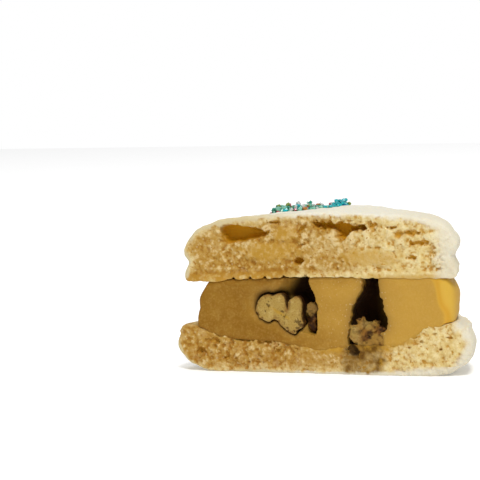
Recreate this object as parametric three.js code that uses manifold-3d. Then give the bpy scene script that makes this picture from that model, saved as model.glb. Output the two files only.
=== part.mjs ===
// Half of a macaron ice cream sandwich: a round sandwich about 75 mm across, cut straight
// down through its middle and lying on its lower shell. A domed upper shell of baked almond
// meringue and a dished lower one hold a thick slab of ice cream with walnut pieces in it,
// and an arch of coarse sugar lies baked onto the dome.
//
// Millimetres, +Z up. The knife went along the XZ plane, and the food lies behind it, at +Y.
// Shapes are laid out around the lower shell's axis at the knife; the last lines move the
// whole so that the origin is under the middle of its bounding box.

import * as THREE from "three";
import { mergeVertices } from "three/addons/utils/BufferGeometryUtils.js";
import Module from "manifold-3d";

const wasm = await Module();
wasm.setup();

// ---- Driving dimensions ---------------------------------------------------------------

const LOWER_RADIUS = 37.3; // the lower shell, over its widest edge
const UPPER_RADIUS = 34.5; // the upper shell, which baked a little smaller
const FILLING_RADIUS = 32.4; // the slab of ice cream, where it bulges
const LOWER_RIM_HEIGHT = 10.9; // top of the lower shell's lip
const DISH_FLOOR = 5; // crumb left under the ice cream at the axis
const DISH_RISE = 4.8; // how much higher the dish is at DISH_RADIUS
const DISH_RADIUS = 30;
const DISH_POWER = 2.2;
const FILLING_TOP = 23; // top of the ice cream
const DOME_TOP = 39.2; // top of the upper shell on its axis
const GAP = 0.3; // left between pieces that touch
const KNIFE_SINK = 0.3; // how far the ice cream has melted back from the knife's plane

// The sandwich has settled: at each height the layers climb to the right by a share of x,
// which differs on the two sides of the axis, and the upper layers have slid sideways.
const LEFT_LEAN = [[0, 0], [LOWER_RIM_HEIGHT, 0.02], [FILLING_TOP, 0.04], [DOME_TOP, 0.04]];
const RIGHT_LEAN = [[0, 0], [LOWER_RIM_HEIGHT, 0.07], [FILLING_TOP, 0.004], [DOME_TOP, 0.012]];
const SLIDE = [[0, 0], [LOWER_RIM_HEIGHT, 0], [16, 0.8], [FILLING_TOP, -0.9]];

// The arch of sugar crystals on the dome, seen from above.
const ARCH_CENTRE = { x: -12, y: 27.3 };
const ARCH_RADIUS = 8.5; // to the middle of the band
const ARCH_HALF_WIDTH = 4;
const CRYSTAL_COUNT = 60;
const CRYSTAL_SIZE = 1.45; // a coarse crystal's mean edge
const CRYSTAL_SPACING = 1.75;

const SEGMENTS = 80; // of a whole turn
const CURVE_STEPS = 2; // between two points of a curve
const DISH_STEPS = 6;

// ---- Materials ------------------------------------------------------------------------

const finish = (color, roughness) =>
  new THREE.MeshStandardMaterial({ color, roughness, metalness: 0 });

const UPPER_CRUMB = finish("#e4dcc0", 0.85);
const LOWER_CRUMB = finish("#d9c392", 0.85);
const ICE_CREAM = finish("#c3983f", 0.5);
const WALNUT = finish("#8a6a3a", 0.7);

// ---- Solids ---------------------------------------------------------------------------

// A closed geometry as a solid that can be joined and cut.
function solidOf(geometry) {
  const bare = geometry.index ? geometry.toNonIndexed() : geometry;
  bare.deleteAttribute("normal");
  bare.deleteAttribute("uv");
  const merged = mergeVertices(bare, 1e-4);
  return new wasm.Manifold(
    new wasm.Mesh({
      numProp: 3,
      vertProperties: merged.attributes.position.array,
      triVerts: new Uint32Array(merged.index.array),
    }),
  );
}

// A solid as a named mesh.
function meshOf(name, solid, material) {
  const made = solid.getMesh();
  const geometry = new THREE.BufferGeometry();
  geometry.setAttribute("position", new THREE.BufferAttribute(made.vertProperties, 3));
  geometry.setIndex(new THREE.BufferAttribute(made.triVerts, 1));
  geometry.computeVertexNormals();
  const mesh = new THREE.Mesh(geometry, material);
  mesh.name = name;
  return mesh;
}

const joined = (solids) => solids.reduce((whole, piece) => whole.add(piece));
const cutBy = (solid, tools) => tools.reduce((rest, tool) => rest.subtract(tool), solid);

// Everything behind a plane parallel to the knife's.
function behind(y) {
  const reach = 120;
  const block = new THREE.BoxGeometry(reach, reach, reach);
  return solidOf(block.translate(0, y + reach / 2, 0));
}

// A repeatable stream of numbers from 0 to 1.
function randomFrom(seed) {
  let state = seed;
  return () => {
    state = (state + 0x6d2b79f5) | 0;
    let t = Math.imul(state ^ (state >>> 15), 1 | state);
    t = (t + Math.imul(t ^ (t >>> 7), 61 | t)) ^ t;
    return ((t ^ (t >>> 14)) >>> 0) / 4294967296;
  };
}

// ---- How the layers sag and lean --------------------------------------------------------

// The value at x on a line through [x, value] points, level beyond its ends.
function along(line, x) {
  const next = line.findIndex(([start]) => start > x);
  if (next === 0) return line[0][1];
  if (next < 0) return line[line.length - 1][1];
  const [x0, v0] = line[next - 1];
  const [x1, v1] = line[next];
  return v0 + ((v1 - v0) * (x - x0)) / (x1 - x0);
}

function settle(point) {
  const { x, z } = point;
  point.x = x + along(SLIDE, z);
  point.z = z + x * along(x < 0 ? LEFT_LEAN : RIGHT_LEAN, z);
  return point;
}

// Moves each vertex of a geometry by a function of its point.
function reshape(geometry, move) {
  const position = geometry.attributes.position;
  const point = new THREE.Vector3();
  for (let i = 0; i < position.count; i++) {
    move(point.fromBufferAttribute(position, i));
    position.setXYZ(i, point.x, point.y, point.z);
  }
  return geometry;
}

// ---- Turned layers ----------------------------------------------------------------------

// How far a foot's frill stands out at an angle, from about -1 to 1.
function frill(angle) {
  return (
    0.45 * Math.sin(9 * angle + 1.1) +
    0.35 * Math.sin(16 * angle + 2.4) +
    0.3 * Math.sin(27 * angle + 0.6)
  );
}

// A profile of (radius, height) points turned round the axis; frillAt(height) is how deep
// the frill is there.
function turned(profile, frillAt) {
  const geometry = new THREE.LatheGeometry(profile, SEGMENTS).rotateX(Math.PI / 2);
  reshape(geometry, (point) => {
    const radius = Math.hypot(point.x, point.y);
    if (radius < 1) return;
    const out = 1 + (frillAt(point.z) * frill(Math.atan2(point.y, point.x))) / radius;
    point.x *= out;
    point.y *= out;
  });
  return solidOf(reshape(geometry, settle));
}

// A bell-shaped weight: 1 at middle, fading out over reach.
const bell = (value, middle, reach) => Math.exp(-(((value - middle) / reach) ** 2));

const dishHeight = (radius) => DISH_FLOOR + DISH_RISE * (radius / DISH_RADIUS) ** DISH_POWER;

// The dish's profile from its edge to the axis. Both layers that meet in it take the same
// radii, so that their facets stay parallel.
function dishProfile(lift) {
  const edge = FILLING_RADIUS - 1.4;
  return Array.from({ length: DISH_STEPS + 1 }, (_, i) => {
    const radius = edge * (1 - i / DISH_STEPS);
    return new THREE.Vector2(radius, dishHeight(radius) + lift);
  });
}

const curve = (points) =>
  new THREE.SplineCurve(points.map(([r, z]) => new THREE.Vector2(r, z))).getPoints(
    CURVE_STEPS * (points.length - 1),
  );

function lowerShellProfile() {
  const edge = LOWER_RADIUS;
  const lip = LOWER_RIM_HEIGHT;
  return [
    new THREE.Vector2(0, 0),
    ...curve([[edge - 11, 0], [edge - 6.5, 0.4], [edge - 2.7, 2.3], [edge - 0.3, 5.2],
      [edge, 7.2], [edge - 0.9, 8.9]]),
    ...curve([[edge - 0.5, 9.7], [edge - 1.3, lip - 0.1], [edge - 2.7, lip]]),
    new THREE.Vector2(FILLING_RADIUS + 0.4, lip - 0.4),
    ...dishProfile(0),
  ];
}

function fillingProfile() {
  const bulge = FILLING_RADIUS;
  return [
    ...dishProfile(GAP).reverse(),
    ...curve([[bulge - 0.7, LOWER_RIM_HEIGHT], [bulge, 14.5], [bulge - 0.4, 18.5],
      [bulge - 1.4, 21.4], [bulge - 3.4, FILLING_TOP]]),
    new THREE.Vector2(0, FILLING_TOP),
  ];
}

function upperShellProfile() {
  const edge = UPPER_RADIUS;
  const under = FILLING_TOP + GAP;
  return [
    new THREE.Vector2(0, under),
    ...curve([[edge - 1.6, under], [edge - 0.5, under + 0.8], [edge - 0.5, under + 2.4],
      [edge - 1.3, under + 5.1]]),
    ...curve([[edge - 0.2, under + 6.9], [edge, under + 8.6], [edge - 1.5, under + 10.9],
      [edge - 3.6, DOME_TOP - 3], [edge - 7.1, DOME_TOP - 1.9], [edge - 13.5, DOME_TOP - 0.8],
      [edge - 24, DOME_TOP - 0.2], [0, DOME_TOP]]),
  ];
}

// ---- Hollows, pits and nuts in the cut face ---------------------------------------------

// A hollow let in from the cut face: its outline there as [x, z] points, and its depth. It
// narrows towards its back as a bowl does.
function hollow(outline, depth) {
  const start = 2; // it begins this far in front of the knife
  const middle = new THREE.Vector2();
  const points = outline.map(([x, z]) => new THREE.Vector2(x, z));
  points.forEach((point) => middle.addScaledVector(point, 1 / points.length));
  const geometry = new THREE.ExtrudeGeometry(new THREE.Shape(points), {
    depth: depth + start,
    steps: 5,
    bevelEnabled: false,
  });
  return solidOf(
    reshape(geometry.rotateX(Math.PI / 2).translate(0, depth, 0), (point) => {
      const inwards = Math.max(0, point.y / depth);
      const share = Math.sqrt(1 - 0.9 * inwards ** 2);
      point.x = middle.x + (point.x - middle.x) * share;
      point.z = middle.y + (point.z - middle.y) * share;
    }),
  );
}

// A lump or a slot: a ball of few faces, stretched and turned in the plane of the cut face.
function ball({ x, y, z, size, turn = 0, detail = 1 }) {
  const geometry = new THREE.IcosahedronGeometry(1, detail);
  return solidOf(geometry.scale(...size).rotateY(turn).translate(x, y, z));
}

// Small pits strewn over the cut face between two heights, as the crumb tears.
function crumbPits(count, halfWidth, lowest, highest, seed) {
  const random = randomFrom(seed);
  return Array.from({ length: count }, () => {
    const x = halfWidth * (2 * random() - 1);
    const z = lowest(x) + (highest(x) - lowest(x)) * random();
    const wide = 0.6 + 0.7 * random();
    const pit = new THREE.OctahedronGeometry(1);
    pit.rotateX(random()).scale(wide, 0.6 + 0.5 * random(), wide * (0.5 + 0.4 * random()));
    return solidOf(pit.rotateY(random() * Math.PI).translate(x, 0.05, z));
  });
}

// The air pockets under the dome, as [x, z] outlines on the cut face.
const LEFT_POCKET = [[-25.5, 34.2], [-23.9, 32.3], [-22.9, 31.9], [-17.6, 32.8], [-14.8, 33.6],
  [-14.4, 34.4], [-14.7, 35.1], [-18.6, 35.4], [-22.7, 35.8], [-24.8, 35.2]];
const MIDDLE_POCKET = [[-1.5, 36], [-0.2, 35], [3.3, 34.3], [5.3, 32.6], [6.8, 32.8],
  [7.8, 34.1], [10.8, 34.5], [10.9, 35.5], [6.9, 36.2], [2.9, 36.2], [-0.4, 36.8]];

// Narrow slots in the crumb: x, z, half width, half height, turn.
const SLOTS = [[12.9, 35.5, 1.2, 0.7, -0.1], [17.1, 35.1, 1.3, 0.4, -0.2], [18, 33.7, 1.1, 0.7, 0.2],
  [22.2, 33.8, 2.3, 0.5, 0.1], [24.6, 31.5, 2, 0.45, 0], [27.6, 30.4, 0.7, 0.8, 0],
  [22, 27.7, 1.2, 0.5, 0], [-5.5, 27, 1.2, 0.7, 0], [-15, 28.6, 1.1, 0.4, 0.1]];

function slots() {
  return SLOTS.map(([x, z, wide, high, turn]) =>
    ball({ x, y: 0, z, size: [wide, 1.6, high], turn, detail: 0 }));
}

// The hollows that the walnuts left in the ice cream: x, z outlines on the cut face.
const LEFT_CAVITY = [[-9.5, 25], [-8.5, 20.5], [-6.5, 17], [-5.2, 13], [-4.6, 9.5], [-1.7, 9.2],
  [-1, 13.2], [-1.1, 16.1], [-2.2, 20], [-3.3, 22.4], [-3.4, 25]];
const RIGHT_CAVITY = [[10.2, 25], [10.2, 21.8], [8.3, 16.7], [6.6, 12.3], [6.1, 9.4], [6.9, 6.3],
  [15, 6.3], [16.5, 9.5], [16.2, 13.5], [15.3, 17.3], [14.2, 22.3], [14.2, 25]];
const LEFT_CAVITY_DEPTH = 7.5;
const RIGHT_CAVITY_DEPTH = 9;

// Walnut pieces as lumps: x, y, z and radius.
const LEFT_LOBES = [[-13.9, 0.4, 15.4, 2.9], [-11.3, 0.8, 16.5, 2.4], [-6.4, 0.6, 16, 1.8],
  [-9.8, 0.8, 13.7, 1.9], [-6.8, 0.6, 13.6, 1.8], [-8.1, 0.8, 12.1, 2], [-6.9, 0.6, 10.4, 1.5]];
const MIDDLE_LOBES = [[-3, 2.6, 14.9, 1.5], [-2.9, 2.8, 12.8, 1.5], [-2.9, 2.6, 11, 1.2]];
const RIGHT_LOBES = [[8.2, 2.4, 10.1, 1.9], [10, 2.8, 11.6, 1.9], [12.3, 2.4, 10.3, 2.2],
  [14, 2.8, 8.9, 1.9], [9.3, 2.2, 8.4, 1.6], [11.8, 2, 8, 1.4]];

function lumps(lobes, grow) {
  return joined(
    lobes.map(([x, y, z, radius]) =>
      ball({ x, y, z, size: Array(3).fill(radius + grow), turn: x })),
  );
}

// ---- Sugar ------------------------------------------------------------------------------

// Height of a profile's upper side at a radius.
function heightOn(profile, radius) {
  const top = profile.filter((point) => point.y > DOME_TOP - 8).map((point) => [point.x, point.y]);
  return along(top.reverse(), radius);
}

// Places on the dome within the arch, each at least the spacing from the others.
function archPlaces() {
  const random = randomFrom(11);
  const places = [];
  const reach = ARCH_RADIUS + ARCH_HALF_WIDTH;
  for (let tries = 0; tries < 6000 && places.length < CRYSTAL_COUNT; tries++) {
    const x = ARCH_CENTRE.x + reach * (2 * random() - 1);
    const y = ARCH_CENTRE.y - reach * random();
    const fromMiddle = Math.hypot(x - ARCH_CENTRE.x, y - ARCH_CENTRE.y) - ARCH_RADIUS;
    const inBand = Math.abs(fromMiddle) < ARCH_HALF_WIDTH;
    const onDome = Math.hypot(x, y) < UPPER_RADIUS - 2.5;
    const clear = places.every((other) => Math.hypot(x - other.x, y - other.y) > CRYSTAL_SPACING);
    if (inBand && onDome && clear) places.push({ x, y });
  }
  return places;
}

function crystals(profile) {
  const random = randomFrom(5);
  return archPlaces().map(({ x, y }) => {
    const size = () => CRYSTAL_SIZE * (0.8 + 0.4 * random());
    const turn = () => (random() - 0.5) * 1.6;
    const block = new THREE.BoxGeometry(size(), size(), size());
    block.rotateX(turn()).rotateY(turn()).rotateZ(random() * Math.PI);
    const seat = settle(new THREE.Vector3(x, y, heightOn(profile, Math.hypot(x, y))));
    return solidOf(block.translate(seat.x, seat.y, seat.z + 0.4 * CRYSTAL_SIZE));
  });
}

// ---- The pieces -------------------------------------------------------------------------

function lowerShell() {
  const frillAt = (z) => 0.35 * bell(z, 9.8, 1.4);
  const whole = turned(lowerShellProfile(), frillAt).intersect(behind(0));
  const floor = () => 1.2;
  const crumbTop = (x) => dishHeight(Math.abs(x)) + 0.04 * x - 0.6;
  return cutBy(whole, crumbPits(56, LOWER_RADIUS - 4, floor, crumbTop, 21));
}

// Plan of the ice cream: straight along the knife, with its right corner melted round.
function meltedPlan() {
  const far = 60;
  const corner = 28.8;
  const shape = new THREE.Shape();
  shape.moveTo(-far, KNIFE_SINK);
  shape.lineTo(corner, KNIFE_SINK);
  shape.bezierCurveTo(corner + 2.5, KNIFE_SINK, corner + 3.9, 1.6, corner + 4.6, 5.2);
  shape.lineTo(far, far);
  shape.lineTo(-far, far);
  return solidOf(
    new THREE.ExtrudeGeometry(shape, { depth: far, bevelEnabled: false, curveSegments: 5 }),
  );
}

function iceCream() {
  const slab = turned(fillingProfile(), () => 0).intersect(meltedPlan());
  return cutBy(slab, [
    hollow(LEFT_CAVITY, LEFT_CAVITY_DEPTH),
    hollow(RIGHT_CAVITY, RIGHT_CAVITY_DEPTH),
    lumps(LEFT_LOBES, GAP + 0.1),
    lumps(MIDDLE_LOBES, GAP),
    lumps(RIGHT_LOBES, GAP),
  ]);
}

function upperShell() {
  const profile = upperShellProfile();
  const under = FILLING_TOP + GAP;
  const frillAt = (z) => 0.4 * bell(z, under + 2, 2.2);
  const dome = turned(profile, frillAt).intersect(behind(0));
  const crumbFloor = (x) => under + 0.02 * x + 0.2;
  const crumbTop = (x) => heightOn(profile, Math.abs(x)) - 2.4;
  const crags = cutBy(dome, [
    hollow(LEFT_POCKET, 8),
    hollow(MIDDLE_POCKET, 7),
    ...slots(),
    ...crumbPits(64, UPPER_RADIUS - 3.5, crumbFloor, crumbTop, 33),
  ]);
  return joined([crags, ...crystals(profile)]);
}

const nut = (lobes, front) => lumps(lobes, 0).intersect(behind(front));

const sandwich = new THREE.Group();
sandwich.add(
  meshOf("lower_shell", lowerShell(), LOWER_CRUMB),
  meshOf("ice_cream", iceCream(), ICE_CREAM),
  meshOf("upper_shell", upperShell(), UPPER_CRUMB),
  meshOf("walnut_left", nut(LEFT_LOBES, 0.1), WALNUT),
  meshOf("walnut_middle", nut(MIDDLE_LOBES, KNIFE_SINK), WALNUT),
  meshOf("walnut_right", nut(RIGHT_LOBES, KNIFE_SINK), WALNUT),
);

// The origin is under the middle of the bounding box.
const extent = new THREE.Box3().setFromObject(sandwich);
const middle = extent.getCenter(new THREE.Vector3());
sandwich.position.set(-middle.x, -middle.y, -extent.min.z);

const part = new THREE.Group();
part.add(sandwich);

export default part;
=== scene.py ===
"""Looks of half a macaron ice cream sandwich that lies on its lower shell, cut face forward.

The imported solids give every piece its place. Each of them is replaced by a finer mesh of the
same form: baked skin, torn crumb with its lumps, pits and air pockets, ice cream that has
begun to melt, walnut pieces in their hollows, and loose coarse sugar on the dome.

Shapes are worked out in millimetres round the lower shell's axis at the knife's plane
(x along the cut, y into the food, z up), and put into the frame's metres at the end.
"""

import math
from itertools import product

import bpy
import numpy as np
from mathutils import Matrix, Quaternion, Vector


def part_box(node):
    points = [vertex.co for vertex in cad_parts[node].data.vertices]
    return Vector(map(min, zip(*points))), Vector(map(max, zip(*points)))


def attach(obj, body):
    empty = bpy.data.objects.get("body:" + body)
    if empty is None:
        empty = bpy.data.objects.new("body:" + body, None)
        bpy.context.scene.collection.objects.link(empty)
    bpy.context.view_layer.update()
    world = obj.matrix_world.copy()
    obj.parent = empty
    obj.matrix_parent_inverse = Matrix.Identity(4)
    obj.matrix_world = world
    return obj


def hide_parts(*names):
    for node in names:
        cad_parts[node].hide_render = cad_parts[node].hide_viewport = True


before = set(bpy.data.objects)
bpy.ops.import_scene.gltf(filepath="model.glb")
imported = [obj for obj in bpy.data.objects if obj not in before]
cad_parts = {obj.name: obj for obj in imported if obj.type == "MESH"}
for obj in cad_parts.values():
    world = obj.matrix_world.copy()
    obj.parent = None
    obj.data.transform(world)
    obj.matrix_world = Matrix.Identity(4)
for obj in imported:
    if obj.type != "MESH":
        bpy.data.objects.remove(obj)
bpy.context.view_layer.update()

bl_info = {
    "name": "Macaron Ice Cream Sandwich",
    "version": (1, 0, 0),
    "blender": (4, 5, 0),
    "location": "3D View > Sidebar > Macaron",
    "description": "Builds the cut half of a macaron ice cream sandwich round its solids",
    "category": "Add Mesh",
}

BODY = "root"
MM = 0.001

# ---- Driving sizes, in millimetres ----

LOWER_RADIUS = 37.3
UPPER_RADIUS = 34.5
FILLING_RADIUS = 32.4
LOWER_RIM_HEIGHT = 10.9
DISH_FLOOR = 5
DISH_RISE = 4.8
DISH_RADIUS = 30
DISH_POWER = 2.2
FILLING_TOP = 23
DOME_TOP = 39.2
SHELL_UNDER = FILLING_TOP + 0.3
KNIFE_SINK = 0.3  # how far the ice cream's cut face lies behind the shells'

# How the layers have settled: [height, lean or slide] points.
LEFT_LEAN = ((0, 0), (LOWER_RIM_HEIGHT, -0.01), (FILLING_TOP, 0.04), (DOME_TOP, 0.04))
RIGHT_LEAN = ((0, 0), (LOWER_RIM_HEIGHT, 0.07), (FILLING_TOP, 0.004), (DOME_TOP, 0.012))
SLIDE = ((0, 0), (LOWER_RIM_HEIGHT, 0), (16, 0.8), (FILLING_TOP, -0.9))

# Where the axis and the knife's plane are in the frame.
SHELL_LOW, SHELL_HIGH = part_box("lower_shell")
AXIS_X = (SHELL_LOW.x + SHELL_HIGH.x) / 2
KNIFE_Y = SHELL_LOW.y

# ---- Numbers that vary smoothly ----

PERIOD = 64  # after how many of its cells noise repeats
FAR = 1e9


def ramp(low, high, value):
    """0 as far as low, 1 from high on, and a smooth rise between them."""
    share = np.clip((value - low) / (high - low), 0, 1)
    return share * share * (3 - 2 * share)


def bell(value, middle, reach):
    """1 in the middle, fading out over about reach to both sides."""
    return np.exp(-(((value - middle) / reach) ** 2))


def fade(distance, reach):
    """1 up to a distance of 0, fading out over about reach beyond it."""
    return np.exp(-np.maximum(distance, 0) / reach)


def most(*values):
    """The largest of several fields."""
    return np.maximum.reduce(values)


def smooth_max(first, second, reach):
    """The larger of two fields, rounded where they meet."""
    near = np.maximum(reach - np.abs(first - second), 0)
    return np.maximum(first, second) + near * near / (4 * reach)


def smooth_min(first, second, reach):
    return -smooth_max(-first, -second, reach)


def blended(table, lows, shares):
    """Values of a table between its places: a low place and a share beyond it on each axis."""
    total = 0
    for corner in product((0, 1), repeat=len(lows)):
        weight = 1
        for bit, share in zip(corner, shares):
            weight = weight * (share if bit else 1 - share)
        spot = tuple((low + bit) % n for low, bit, n in zip(lows, corner, table.shape))
        total = total + weight * table[spot]
    return total


def noise(seed, size, *where):
    """Smooth random values from -1 to 1 that change over about size."""
    table = np.random.default_rng(seed).uniform(-1, 1, (PERIOD,) * len(where))
    places = [np.asarray(axis) / size + PERIOD * 8 for axis in where]
    lows = [np.floor(place).astype(int) for place in places]
    shares = [place - low for place, low in zip(places, lows)]
    return blended(table, lows, [share * share * (3 - 2 * share) for share in shares])


def fractal(seed, size, *where, octaves=3):
    """Noise with finer and weaker noise on it."""
    return sum(noise(seed + k, size / 2**k, *where) / 2**k for k in range(octaves)) / 1.5


def cells(seed, size, x, z):
    """Distance to the nearest of points strewn one to a square of the given size, as a share
    of it, and a random number that belongs to that point."""
    jitter_x, jitter_z, value = np.random.default_rng(seed).random((3, PERIOD, PERIOD))
    across, up = x / size + PERIOD * 8, z / size + PERIOD * 8
    column, row = np.floor(across).astype(int), np.floor(up).astype(int)
    nearest = np.full(np.shape(across), FAR)
    label = np.zeros_like(nearest)
    for right, above in product((-1, 0, 1), repeat=2):
        spot = (column + right) % PERIOD, (row + above) % PERIOD
        reach = np.hypot(
            column + right + jitter_x[spot] - across, row + above + jitter_z[spot] - up
        )
        label = np.where(reach < nearest, value[spot], label)
        nearest = np.minimum(nearest, reach)
    return nearest, label


# ---- Outlines ----


def outline_distance(outline, x, z):
    """Signed distance to a closed outline, negative inside."""
    nearest = np.full(np.broadcast(x, z).shape, FAR)
    inside = np.zeros(nearest.shape, bool)
    for (x0, z0), (x1, z1) in zip(outline, [*outline[1:], outline[0]]):
        run, rise = x1 - x0, z1 - z0
        along = np.clip(((x - x0) * run + (z - z0) * rise) / (run * run + rise * rise), 0, 1)
        nearest = np.minimum(nearest, np.hypot(x - x0 - along * run, z - z0 - along * rise))
        if rise:
            inside ^= ((z0 > z) != (z1 > z)) & (x < x0 + run * (z - z0) / rise)
    return np.where(inside, -nearest, nearest)


def curve(points, steps=6):
    """Points on a smooth curve through the given ones."""
    ends = [points[0], *points, points[-1]]
    made = []
    for k in range(len(points) - 1):
        before, start, stop, after = (np.array(p, float) for p in ends[k : k + 4])
        leave, arrive = (stop - before) / 2, (after - start) / 2
        for t in np.arange(steps) / steps:
            made.append(
                (2 * start - 2 * stop + leave + arrive) * t**3
                + (-3 * start + 3 * stop - 2 * leave - arrive) * t**2
                + leave * t
                + start
            )
    return [tuple(p) for p in made] + [tuple(points[-1])]


def closed_curve(points, steps=4):
    return curve([*points, points[0]], steps)[:-1]


BEYOND_AXIS = -50  # where profiles are closed, far from all that counts
TABLE_STEP = 0.15
TABLE_RADIUS = 42
TABLE_LOW, TABLE_HIGH = -3, 44


class Profile:
    """Signed distance to a layer's profile, looked up by radius and height."""

    def __init__(self, points):
        self.radii = np.arange(0, TABLE_RADIUS, TABLE_STEP)
        self.heights = np.arange(TABLE_LOW, TABLE_HIGH, TABLE_STEP)
        self.table = outline_distance(points, self.radii[:, None], self.heights[None, :])

    def __call__(self, radius, height):
        return lookup(self.table, self.radii, self.heights, radius, height)


def lookup(table, rows, columns, row, column):
    """Value of an evenly spaced table between its rows and columns."""
    a = np.clip((row - rows[0]) / (rows[1] - rows[0]), 0, len(rows) - 1.001)
    b = np.clip((column - columns[0]) / (columns[1] - columns[0]), 0, len(columns) - 1.001)
    i, j = a.astype(int), b.astype(int)
    a, b = a - i, b - j
    low = table[i, j] * (1 - b) + table[i, j + 1] * b
    high = table[i + 1, j] * (1 - b) + table[i + 1, j + 1] * b
    return low * (1 - a) + high * a


def lower_profile():
    """The lower shell's profile, as if it had no dish."""
    edge, lip = LOWER_RADIUS, LOWER_RIM_HEIGHT
    return [
        (BEYOND_AXIS, 0),
        *curve([(edge - 11, 0), (edge - 6.5, 0.4), (edge - 2.7, 2.3), (edge - 0.3, 5.2),
                (edge, 7.2), (edge - 0.9, 8.9)]),
        *curve([(edge - 0.5, 9.7), (edge - 1.3, lip - 0.1), (edge - 2.7, lip)]),
        (BEYOND_AXIS, lip),
    ]


# How far the ice cream bulges beyond its radius at either end: [height, bulge] points.
LEFT_BULGE = ((LOWER_RIM_HEIGHT, -0.1), (14.5, 0.4), (18.5, -0.3), (21.4, -2.3),
              (FILLING_TOP + 0.35, -4.3))
RIGHT_BULGE = ((LOWER_RIM_HEIGHT, 0), (13, 0.4), (15.8, 0.15), (18.7, 0.85), (21.7, 0.5),
               (FILLING_TOP + 0.35, -0.5))


def filling_profile(bulges):
    """The ice cream's profile, as if it went down to the plate."""
    side = [(FILLING_RADIUS + bulge, height) for height, bulge in bulges]
    return [(BEYOND_AXIS, 0), (side[0][0], 0), *curve(side), (BEYOND_AXIS, side[-1][1])]


def upper_profile():
    edge, under, top = UPPER_RADIUS, SHELL_UNDER, DOME_TOP
    return [
        (BEYOND_AXIS, under),
        *curve([(edge - 1.6, under), (edge - 0.5, under + 0.8), (edge - 0.5, under + 2.4),
                (edge - 1.3, under + 5.1)]),
        *curve([(edge - 0.2, under + 6.9), (edge, under + 8.6), (edge - 1.5, under + 10.9),
                (edge - 3.6, top - 3), (edge - 7.1, top - 1.9), (edge - 13.5, top - 0.8),
                (edge - 24, top - 0.2), (0, top)]),
        (BEYOND_AXIS, top),
    ]


# ---- Settling and the frame ----


def along(line, place):
    """Value at a place on a line of [place, value] points."""
    return np.interp(place, [p[0] for p in line], [p[1] for p in line])


def settle(x, z):
    """Where a point of the fresh sandwich is when its layers have slid and leant."""
    lean = np.where(x < 0, along(LEFT_LEAN, z), along(RIGHT_LEAN, z))
    return x + along(SLIDE, z), z + x * lean


def unsettle(x, z):
    """Where a point of the settled sandwich was before it settled."""
    before_x, before_z = x, z
    for _ in range(8):
        now_x, now_z = settle(before_x, before_z)
        before_x, before_z = before_x + x - now_x, before_z + z - now_z
    return before_x, before_z


def to_frame(points):
    """Millimetres round the axis at the knife, as the frame's metres."""
    return points * MM + np.array([AXIS_X, KNIFE_Y, 0])


# ---- From a field to a mesh ----


class Block:
    """Sample points: even along x and z, close together behind the cut face and wider beyond."""

    def __init__(self, low, high, step, fine_to=3.5, widest=0.75):
        self.x = np.arange(low[0], high[0] + step, step)
        self.z = np.arange(low[2], high[2] + step, step)
        places, gap = [low[1]], step
        while places[-1] < high[1] + widest:
            places.append(places[-1] + gap)
            if places[-1] > fine_to:
                gap = min(gap * 1.1, widest)
        self.y = np.array(places)
        self.step = self.x[1] - self.x[0]
        self.depth = self.y[None, :, None]
        self.face_x, self.face_z = np.meshgrid(self.x, self.z, indexing="ij")
        self.bare_x, self.bare_z = unsettle(self.face_x, self.face_z)

    def noise(self, seed, size):
        """Noise all through the block."""
        return noise(seed, size, self.face_x[:, None, :], self.depth, self.face_z[:, None, :])

    def outside(self, outline, steps=3):
        """Distance over the cut face from a smoothed outline, negative inside."""
        return outline_distance(closed_curve(outline, steps), self.face_x, self.face_z)

    def turned(self, profile, frill=None):
        """The field of a profile turned round the axis and settled; frill(angle, height)
        is how far it stands out."""
        x, y, z = self.bare_x[:, None, :], self.depth, self.bare_z[:, None, :]
        radius = np.hypot(x, y)
        if frill:
            radius = radius - frill(np.arctan2(y, x), z + 0 * radius)
        return profile(radius, z + 0 * radius)

    def behind(self, front):
        """The field of what lies behind a depth given over the cut face."""
        steep = np.hypot(*np.gradient(front, self.x, self.z))
        slant = np.sqrt(1 + np.minimum(steep, 3) ** 2)
        return (front[:, None, :] - self.depth) / slant[:, None, :]

    def at(self, values, points):
        """Values over the cut face, read at points."""
        return lookup(values, self.x, self.z, points[:, 0], points[:, 2])


def between(field, axes, points):
    """Value of a field of samples at points."""
    lows, shares = [], []
    for axis, places in zip(axes, points.T):
        place = np.interp(places, axis, np.arange(len(axis)))
        low = np.minimum(place.astype(int), len(axis) - 2)
        lows.append(low)
        shares.append(place - low)
    return blended(field, lows, shares)


def largest_body(count, quads):
    """Which points belong to the body with the most of them."""
    label = np.arange(count)
    first = np.concatenate([quads[:, k] for k in range(4)])
    second = np.concatenate([quads[:, (k + 1) % 4] for k in range(4)])
    while True:
        low = np.minimum(label[first], label[second])
        before = label.copy()
        np.minimum.at(label, first, low)
        np.minimum.at(label, second, low)
        label = label[label]
        if np.array_equal(before, label):
            break
    return label == np.bincount(label).argmax()


POLISH_ROUNDS = 2


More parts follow.
